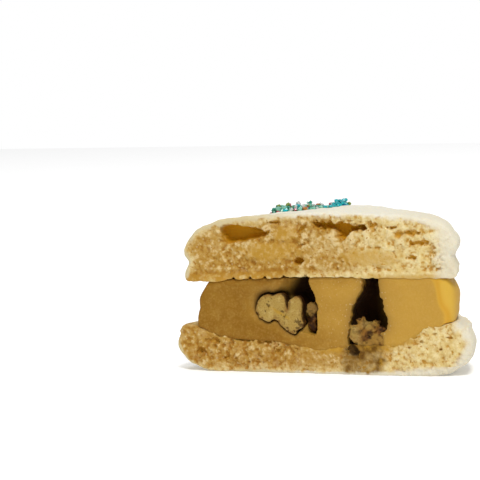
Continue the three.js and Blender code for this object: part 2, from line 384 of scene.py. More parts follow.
def surface(block, field):
    """Points and quads where a field is zero: a point in each cell that the surface passes
    through, and a quad round each edge that it crosses."""
    axes = (block.x, block.y, block.z)
    shape = np.array(field.shape) - 1
    corners, crossings = [], []
    for axis in range(3):
        low = np.take(field, np.arange(shape[axis]), axis)
        high = np.take(field, np.arange(1, shape[axis] + 1), axis)
        crossed = np.argwhere((low < 0) != (high < 0))
        start, stop = low[tuple(crossed.T)], high[tuple(crossed.T)]
        point = np.stack([axes[k][crossed[:, k]] for k in range(3)], 1)
        span = axes[axis][crossed[:, axis] + 1] - axes[axis][crossed[:, axis]]
        point[:, axis] += span * start / (start - stop)
        around = []
        for a, b in ((-1, -1), (0, -1), (0, 0), (-1, 0)):
            cell = crossed.copy()
            cell[:, (axis + 1) % 3] += a
            cell[:, (axis + 2) % 3] += b
            around.append(np.ravel_multi_index(cell.T, shape))
        quads = np.stack(around, 1)
        quads[start > stop] = quads[start > stop][:, ::-1]
        corners.append(quads)
        crossings.append(np.repeat(point, 4, 0))
    corners, crossings = np.concatenate(corners), np.concatenate(crossings)
    _, index = np.unique(corners.ravel(), return_inverse=True)
    index = index.ravel()
    count = np.bincount(index)
    points = np.stack([np.bincount(index, crossings[:, k]) / count for k in range(3)], 1)
    quads = index.reshape(-1, 4)
    keep = largest_body(len(points), quads)
    renumber = np.cumsum(keep) - 1
    points, quads = points[keep], renumber[quads[keep[quads[:, 0]]]]
    slopes = np.gradient(field, *axes)
    reach = 0.35 * block.step
    for _ in range(POLISH_ROUNDS):
        value = between(field, axes, points)
        slope = np.stack([between(part, axes, points) for part in slopes], 1)
        step = slope * (value / np.maximum((slope**2).sum(1), 1e-3))[:, None]
        length = np.linalg.norm(step, axis=1, keepdims=True)
        points = points - step * np.minimum(1, reach / np.maximum(length, 1e-9))
    return points, quads


def add_mesh(name, points, quads, material, masks=None):
    """A mesh object from points in millimetres, with values kept on them for its material."""
    mesh = bpy.data.meshes.new(name)
    mesh.vertices.add(len(points))
    mesh.vertices.foreach_set("co", to_frame(points).astype(np.float32).ravel())
    mesh.loops.add(quads.size)
    mesh.loops.foreach_set("vertex_index", quads.astype(np.int32).ravel())
    mesh.polygons.add(len(quads))
    mesh.polygons.foreach_set("loop_start", np.arange(0, quads.size, 4, dtype=np.int32))
    mesh.update(calc_edges=True)
    mesh.shade_smooth()
    for key, values in (masks or {}).items():
        kept = mesh.attributes.new(key, "FLOAT", "POINT")
        kept.data.foreach_set("value", np.clip(values, 0, 1).astype(np.float32))
    mesh.materials.append(material)
    piece = bpy.data.objects.new(name, mesh)
    bpy.context.scene.collection.objects.link(piece)
    return piece


def dress(piece, slot, *nodes):
    """Makes a finished piece ride with the food and hides its solids."""
    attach(piece, BODY)
    if nodes:
        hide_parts(*nodes)


def under_skin(profile, points):
    """How far points lie inside a settled layer's profile."""
    bare_x, bare_z = unsettle(points[:, 0], points[:, 2])
    return -profile(np.hypot(bare_x, points[:, 1]), bare_z)


# ---- The crumb ----


def frill(angle):
    """How far a shell's foot stands out, from about -1 to 1."""
    return (
        0.45 * np.sin(9 * angle + 1.1)
        + 0.35 * np.sin(16 * angle + 2.4)
        + 0.3 * np.sin(27 * angle + 0.6)
    )


def foot(seed, radius, middle, reach, depth):
    """The frilled, porous foot of a shell: depth by angle and height."""

    def stand_out(angle, height):
        band = bell(height, middle, reach)
        ruffle = noise(seed, 1.9, angle * radius, height * 0.8)
        grain = noise(seed + 1, 0.8, angle * radius, height)
        return band * (depth * frill(angle) + 0.28 * ruffle + 0.14 * grain)

    return stand_out


def blurred(values, step, reach):
    """Values over the cut face, smoothed over about reach."""
    margin = int(3 * reach / step)
    wide = np.pad(values, margin, mode="reflect")
    across, up = np.fft.fftfreq(wide.shape[0], step), np.fft.rfftfreq(wide.shape[1], step)
    spread = np.exp(-2 * (math.pi * reach) ** 2 * (across[:, None] ** 2 + up[None, :] ** 2))
    smooth = np.fft.irfft2(np.fft.rfft2(wide) * spread, wide.shape)
    return smooth[margin:-margin, margin:-margin]


# Lumps of torn crumb: seed, size, how unevenly deep they lie, how round they are.
LUMPS = ((20, 2.7, 0.36, 0.45), (30, 1.35, 0.26, 0.36), (40, 0.7, 0.18, 0.3))


def crumb_relief(seed, x, z, calm, open_crumb):
    """How far torn crumb lies behind the knife's plane. Where calm is 1 it was pressed smooth,
    and where open_crumb is 1 it is full of small ragged holes."""
    drift_x = x + 0.5 * fractal(seed, 1.8, x, z)
    drift_z = z + 0.5 * fractal(seed + 10, 1.8, x, z)
    relief = 0
    for more, size, level, roundness in LUMPS:
        nearest, label = cells(seed + more, size, drift_x, drift_z)
        relief = relief + (level * label + roundness * nearest**2)
    crack = ramp(0.1, 0, np.abs(fractal(seed + 50, 1.9, x, z)))
    relief = relief + 0.4 * crack * ramp(0, 0.35, fractal(seed + 60, 3, x, z))
    pore = ramp(0.2, 0.45, fractal(seed + 90, 1.4, x, 1.25 * z, octaves=4))
    relief = relief + 0.3 * pore * (0.25 + 0.75 * open_crumb)
    uneven = 0.45 + 0.55 * ramp(-0.4, 0.5, fractal(seed + 70, 4.5, x, z))
    lively = (1 - 0.85 * calm) * uneven
    return 0.02 + lively * relief + 0.08 * fractal(seed + 80, 0.55, x, z)


def crease_shade_of(depth, step):
    """Painted light and shade on crumb by how it stands: 1 where it stands forward and is painted
    paler, 0 down in a crease and painted darker, partly as moister crumb and partly as painted
    shade.
    """
    above = 0.7 * (blurred(depth, step, 0.6) - depth) + 0.3 * (blurred(depth, step, 2) - depth)
    return 0.5 + 0.5 * np.clip(above / 0.26, -1, 1)


def patch(x, z, row, seed, ragged):
    """1 inside a ragged oval of the cut face and 0 outside it. The row holds the oval's middle,
    half width, half height and turn."""
    middle_x, middle_z, wide, high, turn = row
    right, up = x - middle_x, z - middle_z
    across = right * math.cos(turn) + up * math.sin(turn)
    above = up * math.cos(turn) - right * math.sin(turn)
    reach = np.hypot(across / wide, above / high) + ragged * fractal(seed, 0.7, x, z)
    return ramp(1.2, 0.55, reach)


def patches(x, z, rows, seed, ragged):
    """The most of several ragged ovals."""
    return most(*(patch(x, z, row, seed + k, ragged) for k, row in enumerate(rows)))


def hole(block, edge, depth, taper, rough=0):
    """The field of a hole in the cut face that narrows towards its back. The edge is how far
    each place of the face lies outside the hole."""
    inwards = np.clip(block.depth / depth, 0, 1)
    narrowing = taper * depth * (1 - np.sqrt(1 - 0.97 * inwards**2))
    return np.maximum(edge[:, None, :] + narrowing + rough, block.depth - depth)


# ---- Nodes ----


def srgb(code):
    """A colour of the form #rrggbb, as the linear values that materials take."""
    parts = [int(code[k : k + 2], 16) / 255 for k in (1, 3, 5)]
    return tuple(p / 12.92 if p <= 0.04045 else ((p + 0.055) / 1.055) ** 2.4 for p in parts) + (1,)


class Wiring:
    """Adds nodes to a tree. An input is a value, or the output socket that feeds it."""

    def __init__(self, tree):
        self.tree = tree

    def node(self, kind, inputs=(), **settings):
        made = self.tree.nodes.new(kind)
        for key, value in settings.items():
            setattr(made, key, value)
        for key, value in dict(inputs).items():
            if isinstance(value, bpy.types.NodeSocket):
                self.tree.links.new(value, made.inputs[key])
            else:
                made.inputs[key].default_value = value
        return made

    def math(self, operation, *values, clamp=False):
        made = self.node("ShaderNodeMath", enumerate(values), operation=operation, use_clamp=clamp)
        return made.outputs[0]

    def times(self, first, second):
        return self.math("MULTIPLY", first, second)

    def scaled(self, value, factor, offset):
        return self.math("MULTIPLY_ADD", value, factor, offset)

    def total(self, first, second):
        """The sum, kept between 0 and 1."""
        return self.math("ADD", first, second, clamp=True)

    def mix(self, share, low, high):
        return self.node("ShaderNodeMix", {0: share, 6: low, 7: high}, data_type="RGBA").outputs[2]

    def between(self, value, low, high, to_low=0.0, to_high=1.0):
        made = self.node(
            "ShaderNodeMapRange",
            {0: value, 1: low, 2: high, 3: to_low, 4: to_high},
            interpolation_type="SMOOTHSTEP",
        )
        return made.outputs[0]

    def texture(self, kind, size, **inputs):
        """A texture whose features are about size apart, in millimetres of the object."""
        place = self.node("ShaderNodeTexCoord").outputs["Object"]
        return self.node(kind, {"Vector": place, "Scale": 1 / (size * MM), **inputs}).outputs

    def noise(self, size, detail):
        """Noise from 0 to 1."""
        return self.texture("ShaderNodeTexNoise", size, Detail=detail)["Fac"]

    def grains(self, size):
        """Distance to the nearest of scattered points."""
        return self.texture("ShaderNodeTexVoronoi", size)["Distance"]

    def mask(self, key):
        return self.node("ShaderNodeAttribute", attribute_name=key).outputs["Fac"]

    def covered(self, color, colors, *keys):
        """A colour under settings' colours, each laid on by the mask of the same name."""
        for key in keys:
            color = self.mix(self.mask(key), color, getattr(colors, key))
        return color

    def principled(self, color, inputs, height=None, bump=0.5, bump_depth=0.0002):
        """The surface's shader, bumped by the height of its grain, and the output."""
        inputs = {"Base Color": color, **inputs}
        if height:
            bumped = {"Strength": bump, "Distance": bump_depth, "Height": height}
            inputs["Normal"] = self.node("ShaderNodeBump", bumped).outputs[0]
        shader = self.node("ShaderNodeBsdfPrincipled", inputs)
        self.node("ShaderNodeOutputMaterial", {"Surface": shader.outputs[0]})


def moist_body(weight, radius, scale, shine):
    """Shader inputs of food that lets some light in."""
    return {
        "Subsurface Weight": weight,
        "Subsurface Radius": radius,
        "Subsurface Scale": scale,
        "Specular IOR Level": shine,
    }


def add_sockets(tree, side, **kinds):
    """Gives a node group its inputs or its outputs, each a name and a kind."""
    for key, kind in kinds.items():
        tree.interface.new_socket(key, in_out=side, socket_type=f"NodeSocket{kind}")


def new_material(name):
    """A material without nodes, and the wiring for them."""
    material = bpy.data.materials.new(name)
    material.use_nodes = True
    material.node_tree.nodes.clear()
    return material, Wiring(material.node_tree)


def speckle_group():
    """Fine speckle on baked or cut food: a colour lightened and darkened at two sizes, and
    the height of its grain."""
    found = bpy.data.node_groups.get("food_speckle")
    if found:
        return found
    tree = bpy.data.node_groups.new("food_speckle", "ShaderNodeTree")
    add_sockets(tree, "INPUT", Color="Color", Light="Color", Dark="Color", Strength="Float")
    add_sockets(tree, "OUTPUT", Color="Color", Height="Float")
    wire = Wiring(tree)
    given = wire.node("NodeGroupInput").outputs
    broad = wire.noise(1.6, 4)
    fine = wire.noise(0.32, 3)
    light = wire.times(wire.between(broad, 0.5, 0.72), given["Strength"])
    dark = wire.times(wire.between(fine, 0.52, 0.34), given["Strength"])
    lit = wire.mix(light, given["Color"], given["Light"])
    color = wire.mix(wire.times(dark, 0.6), lit, given["Dark"])
    height = wire.math("ADD", wire.times(fine, 0.6), wire.times(broad, 0.4))
    wire.node("NodeGroupOutput", {"Color": color, "Height": height})
    return tree


def speckled(wire, color, light, dark, strength):
    """A speckled colour, and the height of its grain."""
    inputs = {"Color": color, "Light": light, "Dark": dark, "Strength": strength}
    made = wire.node("ShaderNodeGroup", inputs, node_tree=speckle_group())
    return made.outputs["Color"], made.outputs["Height"]


def shell_material(name, colors):
    """Baked almond shell: ivory skin, and crumb that is dry and pale or moist and gold."""
    material, wire = new_material(name)
    moist = wire.scaled(wire.noise(2.4, 4), 1.1, -0.52)
    moist = wire.total(wire.mask("moist"), moist)
    crumb = wire.mix(moist, colors.dry, colors.moist)
    mottle = wire.scaled(wire.noise(1.0, 6), 1.9, -0.95)
    # The tone mask paints light and shade: paler crumb where it stands forward, and crease colours
    # down in creases as painted shade.
    tone = wire.scaled(wire.mask("tone"), 0.9, mottle)
    tone = wire.total(tone, 0.04)
    lump = wire.mix(moist, colors.pale, colors.pale_moist)
    dry = wire.math("SUBTRACT", 1.0, moist)
    blotch = wire.times(wire.between(wire.noise(2.2, 4), 0.46, 0.62, 0, 0.6), dry)
    crumb = wire.mix(blotch, crumb, colors.pale)
    crumb = wire.mix(wire.between(tone, 0.5, 1.0, 0, 0.85), crumb, lump)
    crease = wire.mix(moist, colors.crease_dry, colors.crease)
    crumb = wire.mix(wire.between(tone, 0.5, 0.0, 0, 0.9), crumb, crease)
    crumb, grain = speckled(wire, crumb, lump, colors.crease, 0.22)
    crumb = wire.mix(wire.between(wire.grains(1.3), 0.3, 0.14, 0, 0.25), crumb, colors.pale)
    clusters = wire.between(wire.noise(3.5, 2), 0.42, 0.6)
    pits = wire.times(wire.between(wire.noise(0.8, 4), 0.42, 0.31), clusters)
    crumb = wire.mix(pits, crumb, crease)
    crumb = wire.covered(crumb, colors, "cream", "hollow")
    streak = wire.between(wire.noise(2.2, 4), 0.48, 0.66, 0, 0.6)
    stain = wire.mix(streak, colors.stain, colors.cream)
    stain, _ = speckled(wire, stain, colors.cream, colors.husk, 0.5)
    crumb = wire.mix(wire.mask("stain"), crumb, stain)
    # Walnut-skin colour laid deep in pits, darker the deeper: stain and painted shade.
    crumb = wire.mix(wire.mask("soot"), crumb, colors.husk)
    skin, _ = speckled(wire, colors.skin, colors.skin_light, colors.skin_dark, 0.35)
    # This mask darkens skin: partly damp and beige tint, partly painted shade towards the left,
    # where less light falls, and over the right side.
    skin = wire.mix(wire.mask("tan"), skin, colors.skin_dark)
    skin = wire.covered(skin, colors, "film")
    height = wire.scaled(wire.noise(0.55, 3), 0.6, grain)
    inputs = {
        **moist_body(0.15, (1.0, 0.7, 0.35), 0.0006, 0.12),
        "Roughness": wire.between(moist, 0, 1, 0.9, 0.7),
    }
    color = wire.mix(wire.mask("skin"), crumb, skin)
    wire.principled(color, inputs, height, bump=0.6, bump_depth=0.0003)
    return material


# ---- Settings ----


def tint(name, text, code):
    """A colour among the settings."""
    return bpy.props.FloatVectorProperty(
        name=name, description=text, subtype="COLOR", size=4, min=0, max=1, default=srgb(code))


def length_setting(name, text, value, lowest=0.0):
    return bpy.props.FloatProperty(
        name=name, description=text, default=value, min=lowest, unit="LENGTH",
        subtype="DISTANCE")


def grid_setting(value, lowest):
    text = "Distance between the points of the finest part of a piece's mesh"
    return length_setting("Finest Detail", text, value * MM, lowest * MM)


class MacaronShellSettings(bpy.types.PropertyGroup):
    """The two baked shells."""

    grid: grid_setting(0.25, 0.15)
    skin: tint("Skin", "Baked skin", "#dbd6c5")
    skin_light: tint("Skin, Light", "Palest flecks of the skin", "#e6e2d3")
    # This colour is also laid on as painted shade over the skin.
    skin_dark: tint("Skin, Dark", "Beige flecks of the skin, and damp skin", "#c4b283")
    dry: tint("Dry Crumb", "Crumb near the skin", "#d3bb7c")
    moist: tint("Moist Crumb", "Crumb that has drawn in cream", "#ad863c")
    pale: tint("Pale Crumb", "Lumps and almond grains", "#dfd0a0")
    pale_moist: tint("Pale Crumb, Moist", "Lumps that have drawn in cream", "#d6bd88")
    # Crease colours are painted shade in the cracks, and also the darker flecks and pits of the
    # crumb.
    crease: tint("Creases", "Cracks between lumps", "#94631a")
    crease_dry: tint("Creases, Dry", "Cracks between lumps of dry crumb", "#b07f2a")
    # Pocket colour is brighter and more orange than the crumb: painted light, standing in for the
    # light that crumb lets into its pockets.
    hollow: tint("Pockets", "Inside of air pockets", "#c08a12")
    cream: tint("Drawn-in Cream", "Crumb smeared with ice cream", "#b3882c")
    stain: tint("Smear", "Walnut smear over the lower crumb", "#6a4813")
    husk: tint("Smear, Dark", "Flecks of walnut skin in the smear", "#2c1503")
    film: tint("Sugar Film", "Skin tinted by sugar", "#b9d8bf")


# ---- The shells ----

# How much higher than the dish the crumb stands along the cut: [x, height] points.
CRUMB_BANK = ((-36, 0), (-33, 0.2), (-30, 0.3), (-26, 0.5), (-22, 1.2), (-18, 1.9), (-13, 2.7),
              (-8, 2.3), (-4.7, 1.7), (-2.5, 1), (1.5, 1.2), (4, 2), (6, 1.8), (15, 0.8),
              (19.4, 0.5), (22, 0.9), (24, 1.8), (25.5, 2.1), (28, 1.4), (31, 0.7), (33, 0))


def dish_height(radius):
    """Height of the dish's top."""
    return DISH_FLOOR + DISH_RISE * (np.abs(radius) / DISH_RADIUS) ** DISH_POWER


def under_dish(block):
    """The field of what lies under the dish's top: the crumb that carries the ice cream."""
    radius = np.hypot(block.bare_x[:, None, :], block.depth)
    bank = along(CRUMB_BANK, block.face_x)[:, None, :] * ramp(6, 2.5, block.depth)
    return 0.93 * (block.bare_z[:, None, :] - dish_height(radius) - bank)


LEFT_POCKET = [(-25.6, 34.5), (-24.8, 32.4), (-23.4, 31.5), (-19, 32.3), (-15.2, 33.1),
               (-14, 34.1), (-15, 35.3), (-18.6, 35.8), (-22.7, 36.3), (-25, 35.9)]
SMALL_POCKET = [(-7, 27.6), (-6, 28.4), (-4.6, 28.1), (-4.2, 27.3), (-5.3, 26.5), (-6.6, 26.7)]
MIDDLE_POCKET = [(-1.7, 36.5), (-0.2, 35.5), (3.3, 34.8), (5.3, 32.8), (6.8, 33), (7.8, 34.4),
                 (10.8, 34.8), (11.4, 35.9), (6.9, 36.7), (2.9, 36.9), (-0.4, 37.4)]
# The pockets: outline, depth, how ragged the edge is, seed.
POCKETS = ((LEFT_POCKET, 4.2, 0.35, 180), (MIDDLE_POCKET, 3.8, 0.8, 185),
           (SMALL_POCKET, 2.8, 0.3, 188))
# Ovals of the cut face: x, z, half width, half height, turn.
SLOTS = ((13.3, 36, 1.3, 1, -0.1), (18, 35.6, 1, 0.4, 0), (19.4, 34.1, 1.2, 1, 0.6),
         (22.9, 34.3, 2.4, 0.6, 0.05), (24.5, 32, 2.6, 0.6, 0), (27.9, 30.9, 0.6, 0.8, -0.7),
         (22.2, 28.5, 1.3, 0.5, 0),
         (-12.1, 36.8, 1.5, 0.35, 0.1), (-4.6, 35.3, 1, 0.35, 0.7),
         (-13.3, 34.4, 1.1, 0.3, 0.7))
PRESSED_SPOTS = ((-9, 34, 3.4, 2.1, 0), (12, 28.3, 8, 2.2, 0), (-13, 29.8, 8, 2.6, 0))
PALE_LUMPS = ((-13.6, 35.4, 1.3, 1, 0), (-13.1, 33.3, 1.2, 1.3, 0.3), (-3.7, 33.6, 1, 1.3, 0),
              (-4.1, 37.1, 1, 0.6, 0), (3.3, 33.6, 1, 1.2, -0.6), (4.6, 30.9, 0.9, 2, 0.4),
              (-20, 31.6, 2, 1, -0.2), (7.8, 33.9, 1, 1.9, 0.2), (12, 33.9, 1.1, 1.4, 0),
              (17.5, 34.1, 1.1, 1.1, 0), (20.7, 35.6, 0.9, 0.8, 0), (20.1, 32, 1.1, 0.9, 0),
              (27, 33.2, 1.3, 1, 0), (28.8, 28, 1.1, 1, 0), (16.6, 30.6, 1.4, 0.9, 0))
# Unevenness of the baked dome: seed, size, height.
DOME_NOISE = ((160, 8, 0.2), (161, 2.4, 0.22), (162, 1.1, 0.14))
# Where the dome stands fuller: x, y, reach, height.
SWELLS = ((-24, 0, 6, 0.6), (4, 18, 6, 0.6))
# Where crumb is torn off above the ice cream: [x, height] points, and notches between teeth.
TORN_RIM = ((-31, 0.3), (-27, 0), (-24, 0.5), (-10, 0.5), (-8.5, 0.8), (-4, 0.7), (-1, 0.3),
            (7, 0.4), (12, 0.1))
NOTCHES = (-22.5, -18.2, -14.4, -9.6, -3.9)
ARCH_CENTRE = (-12, 27.3)
ARCH_RADIUS = 7.6
ARCH_HALF_WIDTH = 3.1


def upper_shell(settings, material):
    block = Block((-37.4, -0.9, 21.2), (35.4, 35.6, 41), settings.grid / MM)
    x, z, y = block.face_x, block.face_z, block.depth
    low = block.bare_z - SHELL_UNDER
    profile = Profile(upper_profile())
    lumpy = patches(x, z, PALE_LUMPS, 150, 0.6)
    slots = patches(x, z, SLOTS, 170, 0.85)
    pressed = patches(x, z, PRESSED_SPOTS, 140, 0.3)
    calm = np.maximum(pressed, 0.6 * ramp(2.4, 1.2, low)) * (1 - lumpy)
    depth = crumb_relief(100, x, z, calm, ramp(4, 22, x))
    # Slots are painted darker, as painted shade down in them.
    tone = crease_shade_of(depth, block.step) + 0.6 * lumpy - 0.2 * slots
    teeth = ramp(0.2, 0.5, fractal(195, 0.9, x, z)) * ramp(1.6, 0.9, low)
    # Along the left lower rim the crumb is painted darker, as painted shade on the side away from
    # the light, with paler teeth in it.
    tone = tone + (teeth - 0.65 * ramp(3.4, 1.5, low)) * ramp(-2, -14, x)
    from_skin = -profile(np.abs(block.bare_x), block.bare_z)
    depth = depth * (0.25 + 0.75 * ramp(0.3, 2.4, from_skin)) + 0.9 * slots - 0.3 * lumpy
    depth = depth * (1 - 0.6 * ramp(1.5, 0.4, low)) + 0.3 * ramp(29, 33, x)

    dome = block.turned(profile, foot(120, UPPER_RADIUS, SHELL_UNDER + 2, 2.2, 0.4))
    for seed, size, height in DOME_NOISE:
        dome = dome + height * block.noise(seed, size)
    for middle_x, middle_y, reach, height in SWELLS:
        swell = bell(np.hypot(x[:, None, :] - middle_x, y - middle_y), 0, reach)
        dome = dome - height * swell * ramp(30, 34, z[:, None, :])
    torn = 0.75 * along(TORN_RIM, x) + 0.22 * fractal(194, 1.3, x, 0 * z)
    torn = torn + sum(0.7 * bell(x, notch, 0.42) for notch in NOTCHES)
    farther_in = 2.2 * ramp(2.5, 7, y - depth[:, None, :])
    dome = smooth_max(dome, (torn - low)[:, None, :] - farther_in, 0.1)
    worn_edge = 0.3 + (0.6 + 2.6 * ramp(6, 31, x)) * ramp(1, 4, low)
    field = smooth_max(dome, block.behind(depth), worn_edge[:, None, :])
    hollow = 0.9 * slots
    for outline, reach, ragged, seed in POCKETS:
        edge = block.outside(outline) + ragged * fractal(seed, 0.9, x, z)
        field = np.maximum(field, -hole(block, edge, reach, 0.32))
        hollow = np.maximum(hollow, ramp(0.15, -0.35, edge))

    points, quads = surface(block, field)
    px, py, pz = points.T
    inner = under_skin(profile, points)
    height = block.at(low, points)
    stands = block.at(tone, points)
    front, back = ramp(3.2, 1.2, py), ramp(4, 8, py)
    ragged = 0.6 * fractal(200, 1.5, px, pz)
    band = 1.1 + 1.3 * ramp(12, 31, px) + 2 * back
    skin = 1 - ramp(band * 0.2, band * 1.35, inner + ragged * front)
    side = ramp(UPPER_RADIUS - 3, UPPER_RADIUS - 1.4, np.hypot(px, py))
    side = side * ramp(-0.5, 2, height + 2 * ramp(1, 4, py))
    skin = skin * np.maximum(side, ramp(2.5, 5, height))
    foot_skin = ramp(26.5, 31, px + 1.5 * ragged) * ramp(-0.8, 0.6, height)
    skin = np.maximum(skin, 0.9 * foot_skin)
    skin = skin * (1 - front * ramp(0.45, 0.15, stands) * ramp(0.8, 0.5, skin))
    moist = 1 - ramp(-6, 27, px + 5 * noise(201, 6, px, pz))
    moist = moist * (1 - ramp(-14, 2, px) * ramp(3, -2, height))
    from_arch = np.hypot(px - ARCH_CENTRE[0], py - ARCH_CENTRE[1]) - ARCH_RADIUS
    film = ramp(ARCH_HALF_WIDTH + 1.5, ARCH_HALF_WIDTH - 1, np.abs(from_arch))
    cream = ramp(10, 15, px) * ramp(33, 29, px) * front
    cream = cream * ramp(1.5, 0.5, height + 0.7 * fractal(202, 1.6, px, pz))
    masks = {
        "skin": skin,
        "moist": moist * ramp(-0.5, 3, inner),
        "tone": 0.5 + (stands - 0.5) * front,
        # Pocket colour grows deeper inside: painted light in the pockets.
        "hollow": block.at(hollow, points) * ramp(0.2, 0.7, py) * (1 - back),
        "cream": most(
            0.6 * cream,
            0.6 * block.at(pressed * (1 - lumpy), points) * front,
            0.4 * front * ramp(-4, -14, px) * ramp(3, 1.5, height)),
        # Painted shade on the skin to the left and over the right side, and damp skin low on the
        # shell.
        "tan": most(
            0.85 * ramp(0, -20, px) * front,
            0.35 * ramp(7, 3, height),
            0.2 * ramp(12, 26, px)),
        "film": 0.7 * film * (py < ARCH_CENTRE[1] + 1) * (pz > 33),
    }
    piece = add_mesh("upper_shell_crumb", points, quads, material, masks)
    dress(piece, "macaron_shell", "upper_shell")


LOWER_SLOTS = ((-28.7, 7.6, 2, 0.45, -0.15), (-32, 5, 1, 0.7, 0), (-28.2, 6.1, 0.5, 0.7, 0.3),
               (-21, 8.1, 2, 0.4, 0), (-16.1, 7.3, 1, 0.6, 0.3), (-8.9, 7.2, 0.4, 0.4, 0),
               (-25, 3.4, 0.7, 0.5, 0), (-12, 5.2, 1.2, 0.5, 0.4), (-23.4, 8.4, 0.6, 0.3, 0.2),
               (-19.2, 7.7, 0.5, 0.3, 0), (-14.4, 7.6, 0.8, 0.35, -0.3), (-11.6, 6.9, 0.4, 0.3, 0),
               (23.1, 9.6, 0.8, 0.4, 0.5), (24.6, 8.4, 0.6, 0.5, 0), (27.8, 10.2, 0.6, 0.4, 0),
               (31.5, 9.4, 0.9, 0.35, 0), (21.4, 6.8, 0.5, 0.35, 0), (29.3, 6.6, 0.5, 0.3, 0.3))
# How much the lower shell's right end is worn back: [height, distance] points.
WORN_END = ((1, 0.6), (3, -0.3), (4.5, -0.4), (6.5, 0.1), (9, 0.5), (11, 0.5), (12.3, 1.3),
            (13.5, 1))
# The smear of walnut under the crumbled piece, and the oval pit in it.
SMEAR = [(5.8, 8.5), (6.4, 10.5), (14.6, 10), (15.2, 7), (15.2, 3.2), (14, -0.5), (5.8, -0.5),
         (5.2, 3)]
SMEAR_PIT = (7.4, 6, 1.5, 1.7, 0.3)


def lower_shell(settings, material):
    block = Block((-39, -0.9, -0.8), (39, 38.6, 14.6), settings.grid / MM)
    x, z, y = block.face_x, block.face_z, block.depth
    profile = Profile(lower_profile())
    smear = ramp(1.1, -1.3, outline_distance(SMEAR, x, z) + 1.3 * fractal(300, 2.4, x, z))
    slots = patches(x, z, LOWER_SLOTS, 325, 0.7)
    dry = np.maximum(ramp(14, 26, x), 0.7 * ramp(-18, -26, x))
    calm = np.maximum(0.75 * smear, 0.3 * ramp(12, 24, x))
    depth = crumb_relief(310, x, z, calm, dry)
    # Painted shade: darker in creases and slots, and darker towards the left, the side away from
    # the light.
    tone = crease_shade_of(depth, block.step) - 0.3 * slots - 0.14 * ramp(2, -14, x)
    pit = patch(x, z, SMEAR_PIT, 345, 0.6)
    smear = np.maximum(smear, pit)
    depth = depth + 0.7 * slots + 1.6 * pit - 0.15 * smear * (1 + fractal(322, 1.4, x, z))
    depth = depth * (1 - 0.6 * ramp(-32, -36, x))
    below = dish_height(block.bare_x) + along(CRUMB_BANK, x) - block.bare_z

    shell = block.turned(profile, foot(330, LOWER_RADIUS, 9.8, 1.4, 0.35))
    uneven = 0.14 * block.noise(340, 7) + 0.05 * block.noise(341, 2)
    shell = shell + uneven * ramp(0.5, 3, z[:, None, :])
    worn = ramp(20, 34, x) * along(WORN_END, z) - 0.35 * ramp(-28, -35, x)
    radius = np.hypot(block.bare_x[:, None, :], y)
    shell = shell + worn[:, None, :] * ramp(32.5, 35, radius)
    shell = smooth_max(shell, under_dish(block), 0.25)
    ragged = 0.3 * fractal(342, 1.2, x, z) * ramp(2, 4, z)
    shell = shell + ragged[:, None, :] * ramp(1.8, 0.6, y)
    worn_edge = 0.2 + 2 * ramp(20, 34, x) * ramp(0, 3, np.abs(x) - 28 + below)
    field = smooth_max(shell, block.behind(depth), worn_edge[:, None, :])

    points, quads = surface(block, field)
    px, py, pz = points.T
    inner = under_skin(profile, points)
    front, back = ramp(2.6, 1.0, py), ramp(3, 5, py)
    band = 0.6 + 1.5 * ramp(8, 30, px) - 0.25 * ramp(-20, -30, px) + 2 * back
    rough = 0.5 * fractal(350, 1.4, px, pz)
    side = ramp(FILLING_RADIUS - 1, FILLING_RADIUS + 1.5, np.hypot(px, py))
    skin = 1 - ramp(band * 0.4, band * 1.3, inner + rough * front)
    skin = skin * np.maximum(side, pz < 2.5)
    torn_end = ramp(-24, -32, px) * ramp(6, 9, pz)
    moist = 1 - ramp(-8, 30, px + 5 * noise(351, 6, px, pz))
    cream = ramp(2.2, 0.2, block.at(below, points) + 1.2 * fractal(352, 2, px, pz))
    cream = cream * ramp(-8, 4, px) * ramp(27, 20, px) * front
    patchy = 0.85 + 0.5 * fractal(353, 1.6, px, pz)
    masks = {
        "skin": skin * (1 - 0.8 * torn_end * ramp(6, 3, py)),
        "moist": moist * ramp(-1, 3.2, pz + rough),
        "tone": 0.5 + (block.at(tone, points) - 0.5) * front,
        # Pocket colour grows deeper in the slots: painted light in them.
        "hollow": 0.35 * block.at(slots, points) * ramp(0.3, 1.0, py) * (1 - back),
        "cream": 0.9 * cream,
        # A little beige tint everywhere, and painted shade towards the left.
        "tan": 0.22 + 0.78 * ramp(0, -20, px) * ramp(8, 3, py),
        "stain": block.at(smear, points) * front * patchy,
        # Darker deeper in the smear's pit: walnut stain and painted shade.
        "soot": 0.85 * block.at(pit, points) * ramp(0.4, 1.2, py) * (1 - back),
    }
    piece = add_mesh("lower_shell_crumb", points, quads, material, masks)
    dress(piece, "macaron_shell", "lower_shell")


class MACARON_OT_shells(bpy.types.Operator):
    """Makes the two baked shells: skin, foot, torn crumb and air pockets"""

    bl_idname = "macaron.shells"
    bl_label = "Baked Shells"

    def execute(self, context):
        settings = context.scene.macaron_shell
        material = shell_material("baked_almond_shell", settings)
        upper_shell(settings, material)
        lower_shell(settings, material)
        return {"FINISHED"}


# ---- Ice cream ----

# The hollows that the walnuts left: x, z outlines on the cut face.
FUNNEL = [(-13.5, 25), (-13, 21), (-13.5, 19.5), (-11, 17), (-8, 12), (-5.5, 10.2), (-3.6, 9.9),
          (-2.3, 9.4), (-1.8, 10.2), (-1.5, 12.4), (-1.6, 15), (-1.1, 16), (-1.7, 17.4), (-2, 19),
          (-2.7, 20.7), (-3.5, 22.5), (-3.7, 25)]
